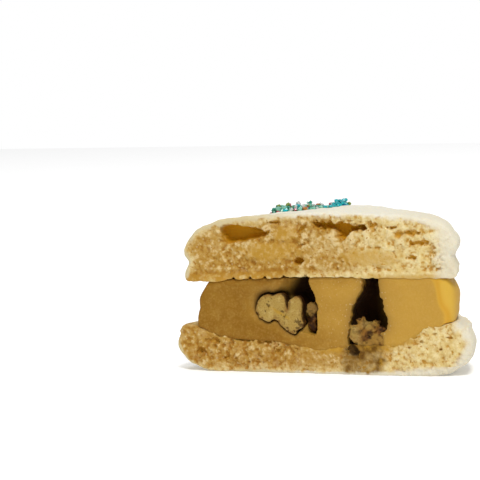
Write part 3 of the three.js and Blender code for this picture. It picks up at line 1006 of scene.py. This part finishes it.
# How the left hollow deepens to the right: where it starts, as [height, x] points, over what
# run, and how far.
FUNNEL_START = ((9, -6), (12, -6.5), (16, -9), (19, -12.5), (21, -11.2), (24, -9.5))
FUNNEL_RUN = 5.5
FUNNEL_DEPTH = 6.5
RIGHT_CAVITY = [(10.3, 24.5), (10.2, 21.6), (9.7, 19.8), (8.6, 18.3), (7.5, 16.1), (6.8, 12.9),
                (6.4, 9.6), (6.3, 6.6), (6.6, 4.4), (8.4, 4.2), (9, 6.4), (10, 8.6), (13, 9.4),
                (15.2, 10.2), (16.6, 12.6), (15.7, 15.6), (15.2, 18.6), (14.4, 21.6), (14.1, 24.5)]
RIGHT_CAVITY_DEPTH = 9
SOCKET_DEPTH = 3.7  # of the hollow that the large walnut left
COLUMN_X = 3.5  # middle of the column of ice cream between the hollows
MIDDLE_HEIGHT = 17

LEFT_NUT = [(-17, 16), (-16.5, 17.4), (-15.6, 18.6), (-14, 19.3), (-12.6, 19.1), (-10.9, 19.6),
            (-9.5, 18.9), (-9.15, 17.4), (-8.9, 15.6), (-8.75, 17), (-8.1, 18), (-6.7, 18.9),
            (-5.6, 18.4), (-5, 17), (-5.2, 14.8), (-4.9, 12.8), (-4.8, 11.8), (-6.3, 10.4),
            (-7.2, 9.5), (-8.9, 10.2), (-10.3, 11.5), (-12.1, 13.1), (-13.8, 12.5), (-15, 12.9),
            (-16.1, 13.5), (-16.9, 14.9)]
RIGHT_NUT = [(6.2, 9), (7.4, 11.7), (8.5, 13.4), (11.8, 12.8), (13.6, 10.6), (15.1, 9.6),
             (15, 7), (14.8, 4), (8, 4), (7.6, 7.4)]
GERM = ((-13.4, 16.4), (-8.5, 13.5))  # ends of the yellow streak across the large walnut
MELTED_CORNER = 28.8  # where the ice cream's right corner begins to round
MELT_LINE_X = 27.9  # where the melted band begins, at the ice cream's top
MELT_LINE_SLOPE = 0.245


class MacaronFillingSettings(bpy.types.PropertyGroup):
    """The ice cream."""

    grid: grid_setting(0.25, 0.15)
    body: tint("Body", "Ice cream where it is cut", "#b78e39")
    # The left side's colour is partly nut stain and partly painted shade, on the side away from
    # the light.
    shade: tint("Left Side", "Ice cream stained by the nuts, to the left", "#875d10")
    melted: tint("Melted", "Glossy melted edge", "#cba33e")
    cream: tint("Streaks", "Paler streaks and bubbles", "#c9a458")
    frost: tint("Frost", "Whitish crystals of ice", "#e3cf9c")
    syrup: tint("Syrup", "Orange line beside the melted edge", "#c08a1c")
    # Dark colour in the walnuts' hollows: partly walnut-skin deposit, partly painted shade.
    wall: tint("Hollow Walls", "Walls of the walnuts' hollows", "#2a1602")
    # Partly walnut stain, partly painted shade round the large nut.
    bruise: tint("Bruise", "Grey-brown tint round the nuts", "#7c5c2a")


def ice_cream_material(colors):
    """Satin caramel ice cream: browner to the left, partly nut stain and partly painted shade, and
    glossy yellow where it has melted.
    """
    material, wire = new_material("caramel_ice_cream")
    cloud = wire.scaled(wire.noise(5, 4), 0.6, -0.3)
    left = wire.total(wire.mask("left"), cloud)
    color = wire.mix(left, colors.body, colors.shade)
    color, grain = speckled(wire, color, colors.cream, colors.shade, 0.1)
    streaks = wire.times(wire.between(wire.noise(0.5, 5), 0.45, 0.7), 0.16)
    color = wire.mix(streaks, color, colors.cream)
    bubbles = wire.between(wire.grains(0.9), 0.24, 0.14)
    frost = wire.times(bubbles, wire.mask("frost"))
    color = wire.mix(frost, color, colors.frost)
    color = wire.covered(color, colors, "bruise", "melted", "syrup", "wall")
    rough = wire.between(wire.mask("melted"), 0, 1, 0.6, 0.34)
    rough = wire.total(rough, wire.times(wire.mask("wall"), 0.4))
    inputs = {**moist_body(0.3, (1.0, 0.6, 0.2), 0.0008, 0.15), "Roughness": rough}
    wire.principled(color, inputs, grain, bump=0.45)
    return material


def melted_plan(x, y):
    """Distance outside the plan of the ice cream's face, rounded at its right corner."""
    corner = MELTED_CORNER
    steps = np.linspace(0, 1, 9)
    bend = [(corner, 0), (corner + 2.5, 0), (corner + 3.9, 1.3), (corner + 4.6, 4.9)]
    share = [(1 - steps) ** 3, 3 * steps * (1 - steps) ** 2, 3 * steps**2 * (1 - steps), steps**3]
    bent = [
        tuple(sum(weight * point[k] for weight, point in zip(weights, bend)) for k in (0, 1))
        for weights in zip(*share)]
    return outline_distance([(-60, 0), *bent, (60, 60), (-60, 60)], x, y)


def ice_cream(settings):
    block = Block((-34.8, -0.9, 3.9), (35.2, 33.8, 25), settings.grid / MM)
    x, z, y = block.face_x, block.face_z, block.depth
    toward_right = ramp(-10, 10, x)[:, None, :]
    slab = block.turned(Profile(filling_profile(LEFT_BULGE))) * (1 - toward_right)
    slab = slab + block.turned(Profile(filling_profile(RIGHT_BULGE))) * toward_right
    slab = smooth_max(slab, -0.1 - under_dish(block), 0.1)
    # Near the cut it is smeared over the crumb above and below, which stands through it.
    beyond = np.maximum(slab[:, np.searchsorted(block.y, 0), :], 0)
    above = 0.4 + 0.6 * ramp(11, 14, x)
    smeared = np.where(z > MIDDLE_HEIGHT, above, 0.6 + 0.4 * ramp(-12, -5, x))
    smeared = smeared * ramp(30.5, 28.5, np.abs(x))
    slab = slab - smeared[:, None, :] * ramp(2.5, 1, y)

    nut_edge = block.outside(LEFT_NUT)
    over_nut = ramp(13, 18, z + 0.25 * (x + 12))
    around_nut = (0.8 + 0.5 * over_nut) * fade(nut_edge, 0.6 + 0.6 * over_nut)
    right_nut = block.outside(RIGHT_NUT) + 0.3 * fractal(403, 1.1, x, z)
    right_edge = block.outside(RIGHT_CAVITY)
    funnel_edge = block.outside(FUNNEL) + 0.12 * fractal(402, 0.9, x, z)
    funnel = np.clip((x - along(FUNNEL_START, z)) / FUNNEL_RUN, 0, 1) ** 1.4
    funnel = funnel * ramp(0.15, -0.15, funnel_edge)
    sunk = KNIFE_SINK + 0.1 * fractal(400, 6, x, z) + 0.08 * fractal(401, 1.4, x, z)
    sunk = sunk + 0.6 * beyond + FUNNEL_DEPTH * funnel + around_nut
    sunk = sunk + 0.25 * ramp(21.2, 23, z) * ramp(17, 11, x)
    sunk = sunk + 0.9 * ramp(0.4, -0.5, right_nut) - 0.12 * bell(right_edge, 0, 0.8)

    face = np.maximum(block.behind(sunk), melted_plan(x[:, :1, None], y - KNIFE_SINK))
    round_edge = 0.2 + 0.8 * ramp(26, 30, np.abs(x)) * ramp(12, 16, z)
    field = smooth_max(slab, face, round_edge[:, None, :])
    rough = 0.3 * block.noise(420, 1.6) + 0.32 * block.noise(421, 0.7)
    cavity = hole(block, right_edge, RIGHT_CAVITY_DEPTH, 0.3, rough)
    field = smooth_max(field, -cavity, 0.1)
    socket = np.maximum((nut_edge - 0.1 - 0.3 * over_nut)[:, None, :], y - SOCKET_DEPTH)
    field = smooth_max(field, -socket, 0.25)

    points, quads = surface(block, field)
    px, py, pz = points.T
    edge = block.at(right_edge, points)
    from_nut = block.at(nut_edge, points)
    near_nut = fade(from_nut, 0.5 + 1.1 * block.at(over_nut, points))
    deep = ramp(0.5, 2.2, py)
    inside = ramp(0.35, -0.1, edge) * deep * (1 - 0.4 * ramp(11, 15, px))
    around = ramp(0.2, -0.2, from_nut) * ramp(0.5, 1.2, py)
    # Dark deep in the left hollow, darker the deeper: painted shade, with some walnut-skin
    # deposit.
    soot = ramp(0.05, 0.7, block.at(funnel, points)) * ramp(0.5, 2.8, py)
    # Darker deeper in the hollows and in a ring round the large nut: painted shade, with some
    # walnut-skin deposit.
    wall = most(inside, around, soot, 0.85 * near_nut * ramp(0.55, 1.0, py))
    from_melt = px - MELT_LINE_X - MELT_LINE_SLOPE * (FILLING_TOP - pz)
    from_melt = from_melt + 0.5 * noise(430, 3, px, pz)
    melted = ramp(-0.4, 0.6, from_melt) * ramp(34.6, 32, px + 0.3 * py)
    # Painted shadow on the ice cream under the dome's rim.
    shadow_under_rim = ramp(20.5, 22.8, pz) * ramp(12, 8, px) * ramp(2.5, 1, py)
    # Darker to the left: partly nut stain, partly painted shade on the side away from the light.
    left = ramp(18, -22, px) * (1 - 0.2 * bell(px, COLUMN_X, 7))
    left = left + 0.3 * ramp(14, 8, pz) * ramp(9, 4, px)
    frost = fade(edge, 0.9) + 0.15 * ramp(5, 3, np.abs(px - COLUMN_X))
    on_right_nut = ramp(1.2, -0.4, block.at(right_nut, points))
    # Grey-brown round the nuts: walnut stain, and round the large nut also painted shade where the
    # ice cream curves down into its socket.
    bruise = most(0.8 * np.exp(-np.abs(edge) / 1.1), near_nut, on_right_nut)
    masks = {
        "left": left + 0.2 * shadow_under_rim - 0.35 * fade(from_nut, 2.2),
        "bruise": 0.75 * bruise * (1 - deep),
        "melted": melted,
        "syrup": 0.6 * bell(from_melt, 0.9, 0.8) * ramp(3, 1, py),
        "frost": 0.8 * frost * (1 - deep),
        "wall": wall * ramp(11, 10, py),
    }
    piece = add_mesh("ice_cream_slab", points, quads, ice_cream_material(settings), masks)
    dress(piece, "ice_cream", "ice_cream")


class MACARON_OT_filling(bpy.types.Operator):
    """Makes the ice cream with the walnuts' hollows in its cut face"""

    bl_idname = "macaron.filling"
    bl_label = "Ice Cream"

    def execute(self, context):
        ice_cream(context.scene.macaron_filling)
        return {"FINISHED"}


# ---- Walnuts ----


class MacaronWalnutSettings(bpy.types.PropertyGroup):
    """The walnut pieces."""

    grid: grid_setting(0.13, 0.08)
    kernel: tint("Kernel", "Cut kernel", "#a48845")
    kernel_light: tint("Kernel, Light", "Palest of the kernel", "#bba260")
    kernel_dark: tint("Kernel, Dark", "Bruises of the kernel", "#7a4f1c")
    germ: tint("Germ", "Yellow streak through the kernel", "#ab8324")
    husk: tint("Skin", "Thin skin round the kernel", "#2f1703")


def walnut_material(name, colors):
    """Walnut: pale oily kernel inside a thin dark brown skin."""
    material, wire = new_material(name)
    color, grain = speckled(wire, colors.kernel, colors.kernel_light, colors.kernel_dark, 0.7)
    color = wire.covered(color, colors, "germ")
    color = wire.mix(wire.mask("bruise"), color, colors.kernel_dark)
    husk, _ = speckled(wire, colors.husk, colors.kernel_dark, (0.004, 0.002, 0.001, 1), 0.5)
    color = wire.mix(wire.mask("husk"), color, husk)
    inputs = {**moist_body(0.12, (1.0, 0.6, 0.3), 0.0005, 0.12), "Roughness": 0.6}
    wire.principled(color, inputs, grain)
    return material


def large_walnut(settings, material):
    block = Block((-18, -0.5, 8.4), (-3.8, 4.4, 20.6), settings.grid / MM, math.inf)
    x, z, y = block.face_x, block.face_z, block.depth
    torn_side = ramp(-8.5, -6, x) * ramp(14, 12, z)
    edge = block.outside(LEFT_NUT, 4) + 0.1 * fractal(500, 0.8, x, z)
    edge = edge + torn_side * (0.1 + 0.3 * fractal(506, 0.7, x, z))
    germ = outline_distance(GERM, x, z) + 0.35 * fractal(501, 1, x, z)
    germ = ramp(0.6, -0.1, germ)
    nibble = ramp(-1.2, -0.1, edge) * ramp(-0.1, 0.5, fractal(504, 1.1, x, z))
    front = 0.08 + 0.1 * fractal(502, 1.2, x, z) + 0.1 * germ + 0.4 * nibble
    side = edge[:, None, :] + 0.14 * block.noise(503, 1.1)
    field = smooth_max(side, y - 3.2, 1.2)
    field = smooth_max(field, block.behind(front), 0.2)
    points, quads = surface(block, field)
    px, py, pz = points.T
    rim = block.at(edge, points) + 0.12 * noise(505, 0.9, px, pz)
    specks = fractal(507, 0.8, px, pz) + 0.25 * block.at(torn_side, points)
    masks = {
        "husk": most(
            ramp(0.7, 1.2, py),
            0.85 * ramp(-0.2, 0.02, rim),
            0.7 * ramp(0.4, 0.6, specks)),
        "bruise": np.maximum(0.7 * block.at(nibble, points), 0.3 * ramp(-1.2, 0, rim)),
        "germ": 0.7 * block.at(germ, points),
    }
    dress(add_mesh("walnut_large", points, quads, material, masks), "walnut", "walnut_left")


def crumbly(block, lobes, front, seed, rough):
    """A walnut piece of round lobes that run into each other, with a rough skin, cut off at a
    depth: points, quads."""
    x, y, z = block.face_x[:, None, :], block.depth, block.face_z[:, None, :]
    field = FAR
    for middle_x, middle_y, middle_z, radius in lobes:
        lobe = np.sqrt((x - middle_x) ** 2 + (y - middle_y) ** 2 + (z - middle_z) ** 2) - radius
        field = smooth_min(field, lobe, 0.7)
    uneven = 0.5 * block.noise(seed, 1.3) + 0.35 * block.noise(seed + 1, 0.6)
    return surface(block, np.maximum(field + rough * uneven, block.behind(front)))


# Lobes of the small pieces: x, y, z, radius.
MIDDLE_LOBES = ((-3, 2.4, 15.4, 1.5), (-2.9, 2.5, 13.2, 1.5), (-2.9, 2.4, 11.3, 1.3))
RIGHT_LOBES = ((8.1, 2, 9.9, 2.1), (9.6, 2.8, 12.2, 1.5), (12.1, 2.4, 11, 2), (14, 2.6, 9.5, 2),
               (10, 2, 8.4, 2), (12.2, 1.8, 7.6, 2.2), (14.2, 2, 7.6, 1.9), (10.4, 1.8, 6.6, 1.8))


def middle_walnut(settings, material):
    block = Block((-5.2, -0.4, 9), (-0.6, 5, 17.8), settings.grid / MM, math.inf)
    front = KNIFE_SINK + 0.5 + 0.3 * fractal(520, 1.1, block.face_x, block.face_z)
    points, quads = crumbly(block, MIDDLE_LOBES, front, 521, 0.9)
    px, _, pz = points.T
    bright = ramp(14, 15.4, pz + 0.8 * noise(524, 1.1, px, pz))
    masks = {"husk": 1 - 0.75 * bright, "bruise": 0.5 * bright}
    dress(add_mesh("walnut_sliver", points, quads, material, masks), "walnut", "walnut_middle")


def crumbled_walnut(settings, material):
    block = Block((4.8, -0.4, 4), (17.2, 5.6, 14.8), settings.grid / MM, math.inf)
    x, z = block.face_x, block.face_z
    chipped = ramp(9.5, 12, z) * ramp(-0.2, 0.4, fractal(537, 1.1, x, z))
    front = KNIFE_SINK + 0.2 + 0.3 * fractal(530, 1.6, x, z) + 0.5 * chipped
    points, quads = crumbly(block, RIGHT_LOBES, front, 531, 1.2)
    px, py, pz = points.T
    dark = 0.6 * fractal(534, 1.3, px, py, pz) + 0.3 * ramp(1, 2.2, py)
    pale_lobe = np.exp(-(((px - 8) / 1.7) ** 2 + ((pz - 9.8) / 2.4) ** 2))
    torn_off = np.exp(-(((px - 11) / 1.8) ** 2 + ((pz - 12.4) / 1.3) ** 2))
    plain = np.maximum(pale_lobe, torn_off)
    bruise = 0.5 + 0.5 * ramp(-0.3, 0.4, noise(536, 1.8, px, py, pz))
    masks = {
        "husk": ramp(-0.1, 0.3, dark) * (1 - 0.7 * plain),
        "bruise": bruise * (1 - 0.8 * plain),
        "germ": 0.35 * ramp(0.6, 0.2, plain),
    }
    dress(add_mesh("walnut_crumbled", points, quads, material, masks), "walnut", "walnut_right")


class MACARON_OT_walnuts(bpy.types.Operator):
    """Makes the three walnut pieces in their hollows"""

    bl_idname = "macaron.walnuts"
    bl_label = "Walnut Pieces"

    def execute(self, context):
        settings = context.scene.macaron_walnut
        material = walnut_material("walnut_kernel", settings)
        for make in (large_walnut, middle_walnut, crumbled_walnut):
            make(settings, material)
        return {"FINISHED"}


# ---- Sugar ----

# Kinds of sugar crystal: name, weight among the kinds, where along the cut most of them lie,
# and how widely.
SUGAR_KINDS = (
    ("sea_green", 0.17, -17, 4),
    ("mint", 0.18, -12, 8),
    ("turquoise", 0.42, -2, 2.4),
    ("blue", 0.05, -1.6, 2),
    ("olive", 0.16, -16.5, 2.5),
    ("amber", 0.1, -17.5, 3),
    ("rose", 0.17, -9, 2.2),
    ("clear", 0.14, -12, 3),
)


class MacaronSugarSettings(bpy.types.PropertyGroup):
    """The coarse sugar on the dome."""

    smallest: length_setting("Smallest Crystal", "Mean edge of the smallest", 0.45 * MM)
    largest: length_setting("Largest Crystal", "Mean edge of the largest", 1.2 * MM)
    count: bpy.props.IntProperty(
        name="Crystals", description="How many crystals lie on the dome", default=330)
    sea_green: tint("Sea Green", "Green crystals, most of them to the left", "#2f9c82")
    mint: tint("Mint", "Pale green crystals", "#8fd2ba")
    turquoise: tint("Turquoise", "Bright crystals at the arch's right end", "#14b8c0")
    blue: tint("Blue", "Blue crystals", "#2c78b4")
    olive: tint("Olive", "Yellow-green crystals", "#8c9a48")
    amber: tint("Amber", "Orange crystals", "#cf8a3a")
    rose: tint("Rose", "Red crystals at the arch's top", "#b8324a")
    clear: tint("Clear", "Colourless crystals", "#dde0dc")


def dome_height(x, y):
    """Height of the settled dome at a place."""
    profile = [p for p in upper_profile() if p[1] > DOME_TOP - 9 and p[0] >= 0][::-1]
    bare_x = x - along(SLIDE, FILLING_TOP)
    height = along(profile, np.hypot(bare_x, y))
    swell = sum(
        high * bell(np.hypot(x - middle_x, y - middle_y), 0, reach)
        for middle_x, middle_y, reach, high in SWELLS)
    return settle(bare_x, height)[1] + swell


# Where along the cut the sugar is heaped up: x, half width, height in crystals.
HEAPS = ((-17.3, 1, 1.5), (-14.6, 1, 1.3), (-12, 1.1, 1.1), (-9.2, 1.2, 1.3), (-2, 1.6, 3.2))
SUGAR_TRIES = 60000
SUGAR_SPACING = 0.9
LAYER_HEIGHT = 0.75


def sugar_places(settings):
    """Seats of the crystals in the arch: loose at its edges, heaped up in uneven clusters."""
    random = np.random.default_rng(600)
    middle_x, middle_y = ARCH_CENTRE
    reach = ARCH_RADIUS + ARCH_HALF_WIDTH
    seats = []
    for _ in range(SUGAR_TRIES):
        if len(seats) == settings.count:
            break
        x = middle_x + reach * (2 * random.random() - 1)
        y = middle_y + 2 - (reach + 2) * random.random()
        across = math.hypot(x - middle_x, min(y - middle_y, 0)) - ARCH_RADIUS
        across = across / ARCH_HALF_WIDTH
        heap = 0.4 + 0.4 * float(noise(601, 2.4, x, y))
        heap = heap + max(high * float(bell(x, middle, wide)) for middle, wide, high in HEAPS)
        if abs(across) > 0.7 + 0.3 * heap or random.random() > 0.35 + heap:
            continue
        if math.hypot(x - along(SLIDE, FILLING_TOP), y) > UPPER_RADIUS - 3:
            continue
        layer = int(random.random() * heap * (1 - 0.5 * across**2) + 0.4)
        taken = (s for s in seats if s[3] == layer)
        if any(math.hypot(x - s[0], y - s[1]) < SUGAR_SPACING for s in taken):
            continue
        seats.append((x, y, float(dome_height(x, y)) + 0.25 + LAYER_HEIGHT * layer, layer))
    return np.array([s[:3] for s in seats])


def sugar_kinds(seats):
    """Which kind each crystal is, drawn with the odds of its place along the cut."""
    odds = np.array([
        share * (0.15 + 1.85 * bell(seats[:, 0], favourite, spread))
        for _, share, favourite, spread in SUGAR_KINDS])
    drawn = np.random.default_rng(611).random(len(seats)) * odds.sum(0)
    return (np.cumsum(odds, 0) < drawn).sum(0)


def crystal_tree(material):
    """A node tree that puts a chipped cube of sugar on each point that it is given."""
    tree = bpy.data.node_groups.new("sugar_crystals", "GeometryNodeTree")
    add_sockets(tree, "INPUT", Geometry="Geometry", Smallest="Float", Largest="Float", Seed="Int")
    add_sockets(tree, "OUTPUT", Geometry="Geometry")
    wire = Wiring(tree)
    given = wire.node("NodeGroupInput").outputs

    def vector(operation, inputs, output="Vector"):
        return wire.node("ShaderNodeVectorMath", inputs, operation=operation).outputs[output]

    def random(low, high, kind="FLOAT_VECTOR", slot=0):
        inputs = {slot: low, slot + 1: high, "Seed": given["Seed"]}
        return wire.node("FunctionNodeRandomValue", inputs, data_type=kind).outputs[slot // 2]

    def geometry(kind, inputs):
        return wire.node(kind, inputs).outputs[0]

    sides = {"Size": (1, 1, 1), "Vertices X": 3, "Vertices Y": 3, "Vertices Z": 3}
    cube = geometry("GeometryNodeMeshCube", sides)
    place = geometry("GeometryNodeInputPosition", {})
    grain = {"Vector": place, "Scale": 1.7, "Detail": 1.0}
    chip = wire.node("ShaderNodeTexNoise", grain).outputs["Color"]
    chip = vector("SUBTRACT", {0: chip, 1: (0.5, 0.5, 0.5)})
    chip = vector("SCALE", {0: chip, "Scale": 0.5})
    from_middle = vector("LENGTH", {0: place}, "Value")
    inward = geometry("ShaderNodeMapRange", {0: from_middle, 1: 0.55, 2: 0.87, 3: 0.0, 4: -0.22})
    offset = vector("ADD", {0: chip, 1: vector("SCALE", {0: place, "Scale": inward})})
    shaped = geometry("GeometryNodeSetPosition", {"Geometry": cube, "Offset": offset})
    turn = random((-3.1, -3.1, -3.1), (3.1, 3.1, 3.1))
    size = random(given["Smallest"], given["Largest"], "FLOAT", 2)
    stretch = random((0.75, 0.75, 0.75), (1.25, 1.25, 1.25))
    size = vector("SCALE", {0: stretch, "Scale": size})
    points = geometry("GeometryNodeMeshToPoints", {"Mesh": given["Geometry"]})
    seats = {"Points": points, "Instance": shaped, "Rotation": turn, "Scale": size}
    crystals = geometry("GeometryNodeInstanceOnPoints", seats)
    crystals = geometry("GeometryNodeRealizeInstances", {"Geometry": crystals})
    coated = geometry("GeometryNodeSetMaterial", {"Geometry": crystals, "Material": material})
    wire.node("NodeGroupOutput", {"Geometry": coated})
    return tree


def grown(name, points, tree, inputs):
    """A plain mesh object of what a node tree makes on points given in millimetres."""
    seed_mesh = bpy.data.meshes.new(name)
    seed_mesh.from_pydata(to_frame(points).tolist(), [], [])
    holder = bpy.data.objects.new(name, seed_mesh)
    bpy.context.scene.collection.objects.link(holder)
    modifier = holder.modifiers.new("grow", "NODES")
    modifier.node_group = tree
    for item in tree.interface.items_tree:
        if item.in_out == "INPUT" and item.name in inputs:
            modifier[item.identifier] = inputs[item.name]
    graph = bpy.context.evaluated_depsgraph_get()
    mesh = bpy.data.meshes.new_from_object(holder.evaluated_get(graph))
    holder.modifiers.clear()
    holder.data = mesh
    bpy.data.meshes.remove(seed_mesh)
    mesh.name = name
    return holder


def sugar_material(name, tint):
    """Translucent tinted sugar."""
    material, wire = new_material(name)
    pale = tuple(0.4 + 0.6 * t for t in tint[:3]) + (1,)
    deep = tuple(0.5 * t for t in tint[:3]) + (1,)
    color, grain = speckled(wire, tint, pale, deep, 0.35)
    inputs = {"Roughness": 0.2, "Transmission Weight": 0.25, "IOR": 1.5}
    wire.principled(color, inputs, grain, bump=0.3, bump_depth=0.0001)
    return material


class MACARON_OT_sugar(bpy.types.Operator):
    """Strews coarse coloured sugar in an arch on the dome"""

    bl_idname = "macaron.sugar"
    bl_label = "Coarse Sugar"

    def execute(self, context):
        settings = context.scene.macaron_sugar
        seats = sugar_places(settings)
        kinds = sugar_kinds(seats)
        for k, (name, *_) in enumerate(SUGAR_KINDS):
            if not (kinds == k).any():
                continue
            tree = crystal_tree(sugar_material(f"sugar_{name}", getattr(settings, name)))
            inputs = {"Smallest": settings.smallest, "Largest": settings.largest, "Seed": k}
            piece = grown(f"sugar_{name}", seats[kinds == k], tree, inputs)
            dress(piece, "coarse_sugar")
        return {"FINISHED"}


# ---- Stage ----


class MacaronStageSettings(bpy.types.PropertyGroup):
    """Camera, light and floor."""

    azimuth: bpy.props.FloatProperty(
        name="Azimuth", description="How far round to the right the camera stands",
        default=math.radians(18), subtype="ANGLE")
    elevation: bpy.props.FloatProperty(
        name="Elevation", description="How far the camera looks down",
        default=math.radians(7.5), subtype="ANGLE")
    distance: length_setting("Distance", "From the camera to the middle of the food", 0.47)
    lens: bpy.props.FloatProperty(
        name="Lens", description="Focal length", default=141.2, subtype="DISTANCE_CAMERA")
    roll: bpy.props.FloatProperty(
        name="Roll", description="How far the camera leans", default=0.032, subtype="ANGLE")


PHOTO_SIZE = 480  # pixels along each side of the picture
AIM_PIXEL = (344.6, 281.1)  # where the point aimed at lies in it
AIM = Vector((0, 0, 0.0202))
SENSOR_WIDTH = 36
AMBIENT = 0.42
FLOOR_REACH = 900
# Soft lights: name, place in metres, size, power.
LIGHTS = (("key", (0.6, -1.16, 1.75), 0.55, 31.5), ("top", (-0.1, 0.3, 2.0), 0.9, 10.0))


def add_camera(stage):
    data = bpy.data.cameras.new("camera")
    data.lens = stage.lens
    data.sensor_width = SENSOR_WIDTH
    data.shift_x = -(AIM_PIXEL[0] - PHOTO_SIZE / 2) / PHOTO_SIZE
    data.shift_y = (AIM_PIXEL[1] - PHOTO_SIZE / 2) / PHOTO_SIZE
    data.clip_start = 0.01
    camera = bpy.data.objects.new("camera", data)
    side, rise = stage.azimuth, stage.elevation
    back = Vector((
        math.sin(side) * math.cos(rise), -math.cos(side) * math.cos(rise), math.sin(rise)))
    camera.location = AIM + stage.distance * back
    camera.rotation_mode = "QUATERNION"
    level = (-back).to_track_quat("-Z", "Y")
    camera.rotation_quaternion = level @ Quaternion((0, 0, 1), -stage.roll)
    bpy.context.scene.collection.objects.link(camera)
    bpy.context.scene.camera = camera


def add_light(name, place, size, power):
    """A square soft light that faces the food."""
    data = bpy.data.lights.new(name, "AREA")
    data.shape = "SQUARE"
    data.size = size
    data.energy = power
    light = bpy.data.objects.new(name, data)
    light.location = place
    light.rotation_euler = (AIM - light.location).to_track_quat("-Z", "Y").to_euler()
    bpy.context.scene.collection.objects.link(light)


def studio_world():
    """Even white all round, brighter where the camera sees it than as light."""
    world = bpy.data.worlds.new("studio")
    world.use_nodes = True
    world.node_tree.nodes.clear()
    wire = Wiring(world.node_tree)
    seen = wire.node("ShaderNodeLightPath").outputs["Is Camera Ray"]
    strength = wire.scaled(seen, 1 - AMBIENT, AMBIENT)
    light = wire.node("ShaderNodeBackground", {"Color": (1, 1, 1, 1), "Strength": strength})
    wire.node("ShaderNodeOutputWorld", {"Surface": light.outputs[0]})
    return world


class MACARON_OT_stage(bpy.types.Operator):
    """Sets the camera, the studio light and the pale floor"""

    bl_idname = "macaron.stage"
    bl_label = "Stage"

    def execute(self, context):
        scene = context.scene
        add_camera(scene.macaron_stage)
        for row in LIGHTS:
            add_light(*row)
        scene.world = studio_world()
        scene.view_settings.view_transform = "Standard"
        material, wire = new_material("pale_floor")
        white, pale, grey = ((tone, tone, tone, 1) for tone in (0.96, 0.98, 0.93))
        color, _ = speckled(wire, white, pale, grey, 0.2)
        glow = {"Emission Color": (1, 1, 1, 1), "Emission Strength": 0.16}
        wire.principled(color, {"Roughness": 0.9, **glow})
        turns = ((-1, -1), (1, -1), (1, 1), (-1, 1))
        corners = np.array([(FLOOR_REACH * a, FLOOR_REACH * b, 0) for a, b in turns], float)
        floor = add_mesh("floor", corners, np.array([[0, 1, 2, 3]]), material)
        return {"FINISHED"}


# ---- Add-on ----

SETTINGS = {
    "macaron_shell": MacaronShellSettings,
    "macaron_filling": MacaronFillingSettings,
    "macaron_walnut": MacaronWalnutSettings,
    "macaron_sugar": MacaronSugarSettings,
    "macaron_stage": MacaronStageSettings,
}
OPERATORS = (
    MACARON_OT_stage,
    MACARON_OT_shells,
    MACARON_OT_filling,
    MACARON_OT_walnuts,
    MACARON_OT_sugar,
)


class MACARON_PT_panel(bpy.types.Panel):
    """Lists the steps in the order that they run"""

    bl_idname = "MACARON_PT_panel"
    bl_label = "Macaron Sandwich"
    bl_space_type = "VIEW_3D"
    bl_region_type = "UI"
    bl_category = "Macaron"

    def draw(self, context):
        for operator in OPERATORS:
            self.layout.operator(operator.bl_idname)


CLASSES = (*SETTINGS.values(), *OPERATORS, MACARON_PT_panel)


def register():
    for cls in CLASSES:
        bpy.utils.register_class(cls)
    for key, cls in SETTINGS.items():
        setattr(bpy.types.Scene, key, bpy.props.PointerProperty(type=cls))


def unregister():
    for key in SETTINGS:
        delattr(bpy.types.Scene, key)
    for cls in reversed(CLASSES):
        bpy.utils.unregister_class(cls)


def main():
    register()
    for operator in OPERATORS:
        area, name = operator.bl_idname.split(".")
        getattr(getattr(bpy.ops, area), name)()


if __name__ == "__main__":
    main()
